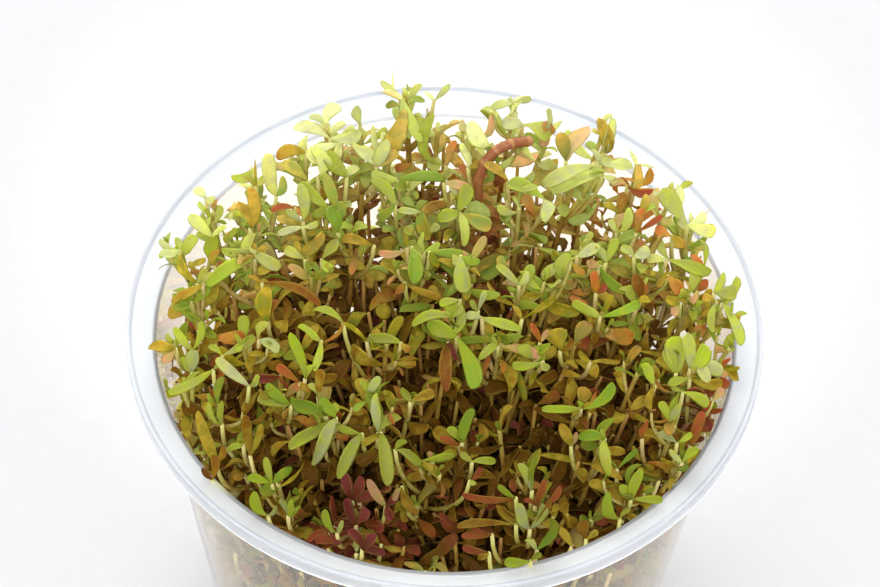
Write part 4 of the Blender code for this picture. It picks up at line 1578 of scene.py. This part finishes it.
# By the wall the light reaches the low shoots, which are leafier, younger and of every tone there
CLUMP_SHOOT = LowShootForm((0.62, 0.92), 0.42, 0.30)
WALL_SHOOT = LowShootForm((0.62, 1.0), 0.0, 0.12, 60.0, ((0.1, 0.8), (0.0, 0.7)))


@dataclass(frozen=True)
class RootForm:
    """The thin roots in the gel, whose run and drop are shares of their length."""

    count: int = 4
    depth: float = 3.0
    length: float = 6.0
    lengths: tuple = (0.6, 1.1)
    run: float = 0.6
    drop: float = 0.8
    lowest: float = 2.4
    radii: tuple = (0.16, 0.15, 0.13, 0.12, 0.1, 0.06)
    age: float = 0.02
    blush: float = 0.1


@dataclass(frozen=True)
class TwigForm:
    """The twig of a spray, from its fork on the stem up to the leaves, and how its leaves stray."""

    above_gel: float = 4.0
    below_tip: float = 0.8
    drop: float = 3.0
    drop_by_gap: float = 1.8
    bend: float = 0.12
    bend_rise: float = 0.35
    radii: tuple = (0.36, 0.35, 0.34, 0.33, 0.32, 0.30, 0.26)
    old_shares: tuple = (1.0, 0.8, 0.6)
    young_ages: tuple = (0.3, 0.2, 0.1, 0.05)
    blushes: tuple = (0.0, 0.5)
    end_on: float = 0.2
    roll: float = 0.3
    age_drift: float = 0.02
    blush_drift: float = 0.06
    narrow: float = 0.7
    back_width: float = 0.16
    pair: tuple = (3.6, 1.6, 20.0)
    pair_radius: float = 0.3
    pair_depth: float = 6.0


@dataclass
class Shoot:
    """One plant: its main stem and side stem, with everything that grows on them."""

    number: int
    main: Stem
    side: Stem | None
    sprays: list[Spray] = field(default_factory=list)
    low_places: list[Vector] = field(default_factory=list)
    wall_side: float = 34.0
    fine_pairs: int = 3
    ageing: Ageing = Ageing()
    stem_form: StemForm = StemForm()
    pair_form: PairForm = PairForm()
    branch_form: BranchForm = BranchForm()
    root_form: RootForm = RootForm()
    twig_form: TwigForm = TwigForm()

    def __post_init__(self) -> None:
        """Gives the plant its own seeded chance and its tone, and finds how far back it stands."""
        self.chance = random.Random(SEED * SEEDS_APART + self.number)
        self.red = self.number in RED_SHOOTS
        self.olive = self.number in OLIVE_SHOOTS
        self.behind = clamp(self.main.tip.y / BACK_REACH, -1.0)
        self.stems = [stem for stem in (self.main, self.side) if stem]

    def tone(self, depth: float) -> tuple[float, float]:
        """Gives a leaf's age and blush by how far it grows below the plant's tip, painted paler towards the
        back as painted light.
        """
        ageing = self.ageing
        lit = max(0.0, self.behind)
        # Towards the back the age is held lower: painted light
        age = ageing.tip_age + depth / (ageing.reach + ageing.painted_light_reach * self.behind)
        age += self.chance.gauss(0.0, ageing.drift) - ageing.painted_light_youth * self.behind
        blushing = self.chance.random() < ageing.blushing_share
        blush = self.chance.uniform(*ageing.blushes) if blushing else ageing.blush
        if self.olive:
            age += ageing.olive
        age = min(age, ageing.most_high if depth < ageing.high_depth else ageing.most_low)
        if self.red:
            age = self.chance.uniform(*ageing.red_ages) - ageing.red_painted_light_youth * lit
            blush = ageing.red_blush - ageing.red_painted_light_fading * lit
        return clamp(age), blush

    def stem_age(self, depth: float) -> float:
        """Gives the stem's age by how far below the plant's tip it is."""
        older = self.ageing.stem_olive if self.olive else 0.0
        return min(1.0, self.ageing.stem_tip_age + depth / self.ageing.stem_reach + older)

    def stem_levels(self, stem: Stem, start: float, depths: list[float]) -> tuple[list[float], set[float]]:
        """Spaces the rings of a stem in even steps, with three close ones at each node.

        Args:
            stem: The stem.
            start: The height that it starts at.
            depths: How far below the tip its nodes are.

        Returns:
            The rings' heights from below, and those of them that are nodes.
        """
        form = self.stem_form
        heights = {start, stem.tip.z - form.end}
        height = start
        while height < stem.tip.z - form.clear:
            heights.add(round(height, 2))
            height += form.step
        nodes = {stem.tip.z - depth for depth in depths if stem.tip.z - depth > start + form.clear}
        for node in nodes:
            heights.update({node - form.node_half, node, node + form.node_half})
        levels = sorted(heights)
        below = [-math.inf] + levels
        return [level for last, level in zip(below, levels) if level - last > form.least_step], nodes

    def bend_over(self, stem: Stem, path: list[Vector], radii: list[float], ages: list[float]) -> None:
        """Carries a stem on through its overhang, where it is swollen, to a round end.

        Args:
            stem: The stem.
            path: The points of its centre line, which it adds to.
            radii: Its radius at each point, the same.
            ages: Its age at each point, the same.
        """
        form = self.stem_form
        upright = len(path)
        rings = []
        for last, place in zip([path[-1]] + stem.overhang, stem.overhang):
            rings += [(last.lerp(place, share), swelling, age) for share, swelling, age in form.bends]
        end = rings[-1][0]
        aim = (end - rings[-2][0]).normalized()
        rings += [(end + aim * BENT_HALF * share, swelling, age) for share, swelling, age in form.caps]
        for point, swelling, age in rings:
            path.append(point)
            radii.append(BENT_HALF * swelling)
            ages.append(age)
        for back in range(1, form.swelling_rings):
            swollen = (BENT_HALF - STEM_HALF) * (form.swelling_rings - back) / form.swelling_rings
            radii[upright - back] = max(radii[upright - back], STEM_HALF + swollen)
            ages[upright - back] = form.swelling_age

    def grow_stem(self, plant: PlantMesh, stem: Stem, start: float, depths: list[float]) -> None:
        """Grows a stem along its centre line, a little thicker at each node.

        Args:
            plant: The plant's mesh.
            stem: The stem.
            start: The height that it starts at.
            depths: How far below the tip its nodes are.
        """
        levels, nodes = self.stem_levels(stem, start, depths)
        swelling = self.stem_form.node_swelling
        path = [stem.at(level) for level in levels]
        radii = [stem.radius(level) * (swelling if level in nodes else 1.0) for level in levels]
        ages = [self.stem_age(stem.tip.z - level) for level in levels]
        if stem.overhang:
            self.bend_over(stem, path, radii, ages)
        blush = self.ageing.red_stem_blush if self.red else self.ageing.stem_blush
        plant.tube(path, radii, ages, blush, sides=8)

    def grow_pair(
        self,
        plant: PlantMesh,
        centre: Vector,
        radius: float,
        angle: float,
        size: Sequence[float],
        depth: float,
        tone: tuple = (),
        fine: bool = True,
    ) -> None:
        """Grows an opposite pair of leaves from a stem.

        Args:
            plant: The plant's mesh.
            centre: The stem's centre.
            radius: The stem's radius.
            angle: The level direction of the first leaf.
            size: The leaves' length, width and rise in degrees.
            depth: How far below the plant's tip they are.
            tone: Their age and blush, where that doesn't follow from the depth.
            fine: Whether they have the finer mesh.
        """
        form = self.pair_form
        for turn in (0.0, math.pi):
            length, width, rise = size
            length *= self.chance.uniform(*form.lengths)
            width *= self.chance.uniform(*form.widths)
            climb = math.radians(rise + self.chance.gauss(0.0, form.climb))
            out = heading(angle + turn + self.chance.gauss(0.0, form.turn))
            axis = out * math.cos(climb) + UP * math.sin(climb)
            up = UP * math.cos(climb) - out * math.sin(climb)
            up += heading(angle + QUARTER_TURN) * self.chance.gauss(0.0, form.roll)
            age, blush = tone or self.tone(depth)
            base = centre + out * radius * form.foot
            habit = PAIR_HABIT.draw(self.chance)
            plant.leaf(Leaf(base, base + axis * length, up, width, age, blush, fine=fine, **habit))

    def grow_bud(self, plant: PlantMesh, point: Vector, angle: float, depth: float) -> None:
        """Grows the bud at a stem's end: two small leaves nearly shut over it."""
        self.grow_pair(plant, point, self.stem_form.bud_radius, angle, self.stem_form.bud, depth)

    def grow_leaves(self, plant: PlantMesh, stem: Stem, pairs: int) -> None:
        """Grows a stem's leaf pairs, each at right angles to the next, and its bud.

        Args:
            plant: The plant's mesh.
            stem: The stem. One that hangs over has no bud and no pair close to it.
            pairs: How many pairs it has, where there is room for them.
        """
        for index, (depth, *size) in enumerate(LEAF_PAIRS[:pairs]):
            height = stem.tip.z - depth
            if height < GEL_HEIGHT + self.stem_form.lowest_pair or (stem.overhang and index == 0):
                continue
            angle = stem.quarter + 0.5 * math.pi * (index % 2)
            fine = index < self.fine_pairs
            self.grow_pair(plant, stem.at(height), stem.radius(height), angle, size, depth, fine=fine)
        if not stem.overhang:
            end = stem.at(stem.tip.z - self.stem_form.bud_drop)
            self.grow_bud(plant, end, stem.quarter + QUARTER_TURN, 0.0)

    def grow_branches(self, plant: PlantMesh, stem: Stem) -> None:
        """Grows short branches with small leaves from the angles between the stem and its upper leaves."""
        form = self.branch_form
        places = [(index, turn) for index in form.pairs for turn in (0.0, math.pi)]
        for index, turn in places:
            if self.chance.random() > form.share:
                continue
            depth = LEAF_PAIRS[index][0]
            base = stem.at(stem.tip.z - depth)
            angle = stem.quarter + 0.5 * math.pi * (index % 2) + turn
            out = heading(angle + self.chance.gauss(0.0, form.turn))
            length = self.chance.uniform(*form.lengths)
            bend, end = (base + out * length * form.run + UP * length * rise for rise in form.rises)
            path = curve([base, bend, plant.cup.keep_inside(end)], 4)
            ages = [self.stem_age(depth) * share for share in form.ages]
            plant.tube(path, form.radii, ages, form.blush)
            spin = self.chance.uniform(0.0, math.pi)
            self.grow_pair(plant, path[3], form.pair_radius, spin, form.pair, depth - form.pair_rise)
            self.grow_bud(plant, path[4], spin + QUARTER_TURN, max(0.0, depth - form.bud_rise))

    def grow_low_shoot(self, plant: PlantMesh, place: Vector) -> None:
        """Grows a thin, lower shoot of the same clump, which fills the cup below the crown.

        Args:
            plant: The plant's mesh.
            place: Where its tip stands, seen from above.
        """
        form = WALL_SHOOT if place.length > self.wall_side else CLUMP_SHOOT
        rise = min(self.main.tip.z, form.ceiling) - GEL_HEIGHT
        top = GEL_HEIGHT + rise * self.chance.uniform(*form.heights)
        sway = heading(self.chance.uniform(0.0, 2.0 * math.pi)) * SWAY
        shares = [ring / form.rings for ring in range(form.rings + 1)]
        path = []
        for share in shares:
            spread = ROOT_SPREAD + (1.0 - ROOT_SPREAD) * share ** LEAN_POWER
            point = place * spread + sway * math.sin(2.0 * math.pi * share)
            point.z = GEL_HEIGHT - form.planted + (top - GEL_HEIGHT + form.planted) * share
            path.append(plant.cup.keep_inside(point))
        radii = [form.radius - form.taper * ring for ring in range(form.rings + 1)]
        ages = [form.tip_age + form.foot_age * (1.0 - share) for share in shares]
        plant.tube(path, radii, ages, self.chance.uniform(*form.blushes))
        quarter = self.chance.uniform(0.0, math.pi)
        for ring in range(form.rings, 1, -1):
            if ring < form.rings and self.chance.random() < form.bare_share:
                continue
            size = [self.chance.uniform(*ends) for ends in form.sizes]
            tone = tuple(self.chance.uniform(*ends) for ends in form.tones)
            depth = self.main.tip.z - path[ring].z
            angle = quarter + QUARTER_TURN * ring
            self.grow_pair(plant, path[ring], form.leaf_radius, angle, size, depth, tone, fine=False)

    def grow_roots(self, plant: PlantMesh) -> None:
        """Grows a few thin white roots from the foot of the main stem into the gel."""
        form = self.root_form
        foot = self.main.at(self.main.root.z)
        foot.z = GEL_HEIGHT - form.depth
        for _ in range(form.count):
            out = heading(self.chance.uniform(0.0, 2.0 * math.pi))
            length = form.length * self.chance.uniform(*form.lengths)
            bend = foot + out * length * form.run
            end = plant.cup.keep_inside(bend - UP * length * form.drop)
            end.z = max(form.lowest, end.z)
            ages = [form.age] * len(form.radii)
            plant.tube(curve([foot, bend, end], 5), form.radii, ages, form.blush, sides=5)

    def grow_twig(self, plant: PlantMesh, spray: Spray) -> list[Vector]:
        """Grows a spray's twig from the nearer of the plant's stems.

        Args:
            plant: The plant's mesh.
            spray: The spray.

        Returns:
            The points of its centre line.
        """
        form = self.twig_form
        gaps = [(stem.at(min(spray.base.z, stem.tip.z)) - spray.base).length for stem in self.stems]
        stem = self.stems[gaps.index(min(gaps))]
        wanted = min(stem.tip.z - form.below_tip, spray.base.z - form.drop - form.drop_by_gap * min(gaps))
        height = max(GEL_HEIGHT + form.above_gel, wanted)
        start = stem.at(height)
        bend = spray.base.lerp(start, form.bend)
        bend.z = start.z + (spray.base.z - start.z) * form.bend_rise
        path = curve([start, bend, spray.base], 6)
        old = self.stem_age(stem.tip.z - height)
        ages = [old * share for share in form.old_shares] + list(form.young_ages)
        plant.tube(path, form.radii, ages, self.chance.uniform(*form.blushes), sides=8)
        return path

    def crown_up(self, axis: Vector) -> Vector:
        """Turns a leaf of the crown to the photograph's viewpoint, as far as its own direction lets it.

        Args:
            axis: The leaf's direction.

        Returns:
            The direction that its upper side faces.
        """
        side = axis.cross(Viewpoint().axes()[2])
        if side.length < self.twig_form.end_on:
            side = axis.cross(UP)
        side.normalize()
        up = side.cross(axis).normalized()
        up = up if up.z > 0.0 else -up
        return (up + side * self.chance.gauss(0.0, self.twig_form.roll)).normalized()

    def grow_spray(self, plant: PlantMesh, spray: Spray) -> None:
        """Grows one spray of the crown on its twig.

        Args:
            plant: The plant's mesh.
            spray: The spray.
        """
        form = self.twig_form
        path = self.grow_twig(plant, spray)
        for tip, width, tone in spray.leaves:
            up = self.crown_up((tip - spray.base).normalized())
            age, blush = tone.value
            # Painted light: leaves towards the back are painted paler
            age -= BACK_PAINTED_LIGHT.get(tone, 0.0) * self.behind
            age = max(0.0, age + self.chance.gauss(0.0, form.age_drift))
            blush = clamp(blush + self.chance.gauss(0.0, form.blush_drift))
            habit = CROWN_HABIT.draw(self.chance, narrow=width < form.narrow)
            width *= 1.0 + form.back_width * self.behind
            plant.leaf(Leaf(spray.base, tip, up, width, age, blush, **habit))
        spin = self.chance.uniform(0.0, math.pi)
        self.grow_pair(plant, path[3], form.pair_radius, spin, form.pair, form.pair_depth)

    def build(
        self, cup: Cup, blanks: dict[bool, bpy.types.Mesh], materials: dict[Layer, bpy.types.Material]
    ) -> bpy.types.Object:
        """Grows the whole plant.

        Args:
            cup: The cup that it keeps inside.
            blanks: The balls that its fine and its coarse leaves are pressed from.
            materials: The materials of its slots.

        Returns:
            The plant, which replaces the solid of its number.
        """
        plant = PlantMesh(cup, blanks)
        depths = [pair[0] for pair in LEAF_PAIRS]
        self.grow_stem(plant, self.main, GEL_HEIGHT - self.stem_form.planted, depths)
        self.grow_leaves(plant, self.main, len(LEAF_PAIRS))
        self.grow_branches(plant, self.main)
        if self.side:
            self.grow_stem(plant, self.side, self.side.root.z + self.stem_form.side_start, depths[:4])
            self.grow_leaves(plant, self.side, SIDE_PAIRS + 1)
        for place in self.low_places:
            self.grow_low_shoot(plant, place)
        self.grow_roots(plant)
        for spray in self.sprays:
            self.grow_spray(plant, spray)
        name = f"shoot_{self.number:02d}"
        thing = plant.finish(f"rotala_{name}", materials)
        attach(thing, "root")
        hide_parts(name)
        return thing


@dataclass
class Planting:
    """The whole crowd of shoots and the crown that they make together."""

    viewpoint: Viewpoint
    highest: float = 81.0
    crown_rise: float = 5.0
    crown_rounds: int = 6
    crown_blur: float = 50.0
    low_shoots: int = 380
    low_reach: float = 40.0
    thin_from: float = 22.0

    def __post_init__(self) -> None:
        """Places every shoot's stems, then hands each spray and each low shoot to the nearest plant."""
        self.shoots = self.place_shoots()
        self.tips = [stem.tip for shoot in self.shoots for stem in shoot.stems]
        for row in SPRAYS:
            self.hand_out(*row)
        self.scatter_low_shoots()

    def place_shoots(self) -> list[Shoot]:
        """Makes the shoots, with the same stems as the part's source makes from the same seed."""
        chance = random.Random(SEED)
        shoots = []
        for number, (main_place, side_place) in enumerate(PLANTING, start=1):
            tip = Vector((main_place[0], main_place[1], RIM_HEIGHT + main_place[2]))
            root = Vector((tip.x * ROOT_SPREAD, tip.y * ROOT_SPREAD, GEL_HEIGHT + GAP))
            sway = heading(chance.uniform(0.0, 2.0 * math.pi)) * SWAY
            main = Stem(root, tip, sway, chance.uniform(0.0, 0.5 * math.pi))
            if number == BENT_SHOOT:
                main.overhang = [Vector((x, y, RIM_HEIGHT + rise)) for x, y, rise in BENT_PLACES]
            side = None
            if side_place:
                side_tip = Vector((side_place[0], side_place[1], RIM_HEIGHT + side_place[2]))
                fork = main.at(main.root.z + (main.tip.z - main.root.z) * SIDE_START)
                reach = side_tip - main.at(side_tip.z)
                start = reach.normalized() * SIDE_OFFSET
                side = SideStem(fork, side_tip, Vector(), main.quarter, [], main, start, reach)
            shoots.append(Shoot(number, main, side))
        return shoots

    def crown(self, point: Vector) -> float:
        """Gives the height of the crown over a point, from the tips that stand around it."""
        gaps = [(tip.x - point.x) ** 2 + (tip.y - point.y) ** 2 for tip in self.tips]
        weights = [math.exp(-gap / self.crown_blur) + 1e-9 for gap in gaps]
        return sum(weight * tip.z for weight, tip in zip(weights, self.tips)) / sum(weights)

    def on_crown(self, pixel: tuple[float, float], lift: float) -> Vector:
        """Finds the point that shows at a pixel and lies on the crown, or a little above it."""
        height = RIM_HEIGHT + self.crown_rise
        for _ in range(self.crown_rounds):
            height = self.crown(self.viewpoint.at_height(pixel, height)) + lift
        return self.viewpoint.at_height(pixel, height)

    def hand_out(self, base_x: float, base_y: float, lift: float, marks: tuple) -> None:
        """Turns a row of the table into a spray, low enough, and gives it to the nearest shoot.

        Args:
            base_x: The pixel that the leaves spring from, from the left.
            base_y: The same, from the top.
            lift: How far above the crown that is.
            marks: Each leaf's tip, width, tone and how far it stands up.
        """
        scale = self.viewpoint.focal_pixels / self.viewpoint.distance
        excess = 1.0
        while excess > 0.0:
            base = self.on_crown((base_x, base_y), lift)
            leaves = []
            for tip_x, tip_y, width, tone, standing in marks:
                lying = self.viewpoint.at_height((tip_x, tip_y), base.z)
                upright = self.viewpoint.at_depth((tip_x, tip_y), base.y)
                leaves.append((lying.lerp(upright, standing), width / scale, Tone[tone.upper()]))
            excess = max(tip.z for tip, _, _ in leaves) - self.highest
            lift -= excess + 0.01
        nearest = min(
            self.shoots, key=lambda shoot: min((stem.tip - base).xy.length for stem in shoot.stems)
        )
        nearest.sprays.append(Spray(base, leaves))

    def scatter_low_shoots(self) -> None:
        """Spaces the low shoots as seeds lie in a sunflower, thinner at the back, and gives them out."""
        for index in range(self.low_shoots):
            share = math.sqrt((index + 0.5) / self.low_shoots)
            place = heading(index * GOLDEN_ANGLE) * self.low_reach * share
            if place.y > self.thin_from and index % 2:
                continue
            nearest = min(self.shoots, key=lambda shoot: (shoot.main.tip.xy - place.xy).length)
            nearest.low_places.append(place)

    def build(self, cup: Cup) -> None:
        """Grows every shoot and reports it.

        Args:
            cup: The cup that they stand in.
        """
        blanks = {True: leaf_blank(8), False: leaf_blank(6)}
        materials = {Layer.LEAF: LeafFinish().build(), Layer.STEM: StemFinish().build()}
        total = 0
        for shoot in self.shoots:
            thing = shoot.build(cup, blanks, materials)
            total += len(thing.data.polygons)
            LOG.info("%s: %d faces, %d sprays", thing.name, len(thing.data.polygons), len(shoot.sprays))
        LOG.info("all shoots: %d faces", total)


@dataclass
class Studio:
    """A paper floor in an evenly lit white room, with a broad light from behind and a weaker one before."""

    floor_size: float = 3000.0
    room_light: float = 1.0
    lamp_spread: float = 75.0
    lamp_from: tuple = (-0.12, 0.75, 0.65)
    lamp_strength: float = 3.6
    fill_spread: float = 15.0
    fill_from: tuple = (0.0, -0.62, 0.78)
    fill_strength: float = 2.2

    def hang(self, name: str, spread: float, strength: float, place: tuple) -> None:
        """Hangs a soft, far lamp that shines from one side."""
        lamp = bpy.data.lights.new(name, "SUN")
        lamp.angle = math.radians(spread)
        lamp.energy = strength
        add_object(name, lamp).rotation_euler = (-Vector(place)).to_track_quat("-Z", "Y").to_euler()

    def build(self) -> None:
        """Makes the floor, the room's light and the lamps."""
        bm = bmesh.new()
        bmesh.ops.create_grid(bm, x_segments=4, y_segments=4, size=self.floor_size * MM / 2.0)
        floor = to_object(bm, "studio_floor")
        floor.data.materials.append(FloorFinish().build())
        world = bpy.data.worlds.new("white_room")
        world.use_nodes = True
        background = world.node_tree.nodes["Background"]
        background.inputs["Color"].default_value = linear("#ffffff")
        background.inputs["Strength"].default_value = self.room_light
        bpy.context.scene.world = world
        self.hang("soft_lamp", self.lamp_spread, self.lamp_strength, self.lamp_from)
        self.hang("fill_lamp", self.fill_spread, self.fill_strength, self.fill_from)
        bpy.context.scene.view_settings.view_transform = "Standard"


def write_sizes() -> None:
    """Brings the scene's placements up to date."""
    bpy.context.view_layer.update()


def main() -> None:
    """Builds the camera, the cup, the gel, the shoots and the studio, in that order."""
    logging.basicConfig(level=logging.INFO, format="%(message)s")
    viewpoint = Viewpoint()
    viewpoint.build()
    cup = Cup()
    plastics = [ClearPlasticFinish(), SATIN_PLASTIC, EDGE_PLASTIC]
    LOG.info("cup: %d faces", len(cup.build(plastics).data.polygons))
    LOG.info("gel: %d faces", len(CultureGel().build(GelFinish()).data.polygons))
    Planting(viewpoint).build(cup)
    Studio().build()
    write_sizes()


if __name__ == "__main__":
    main()
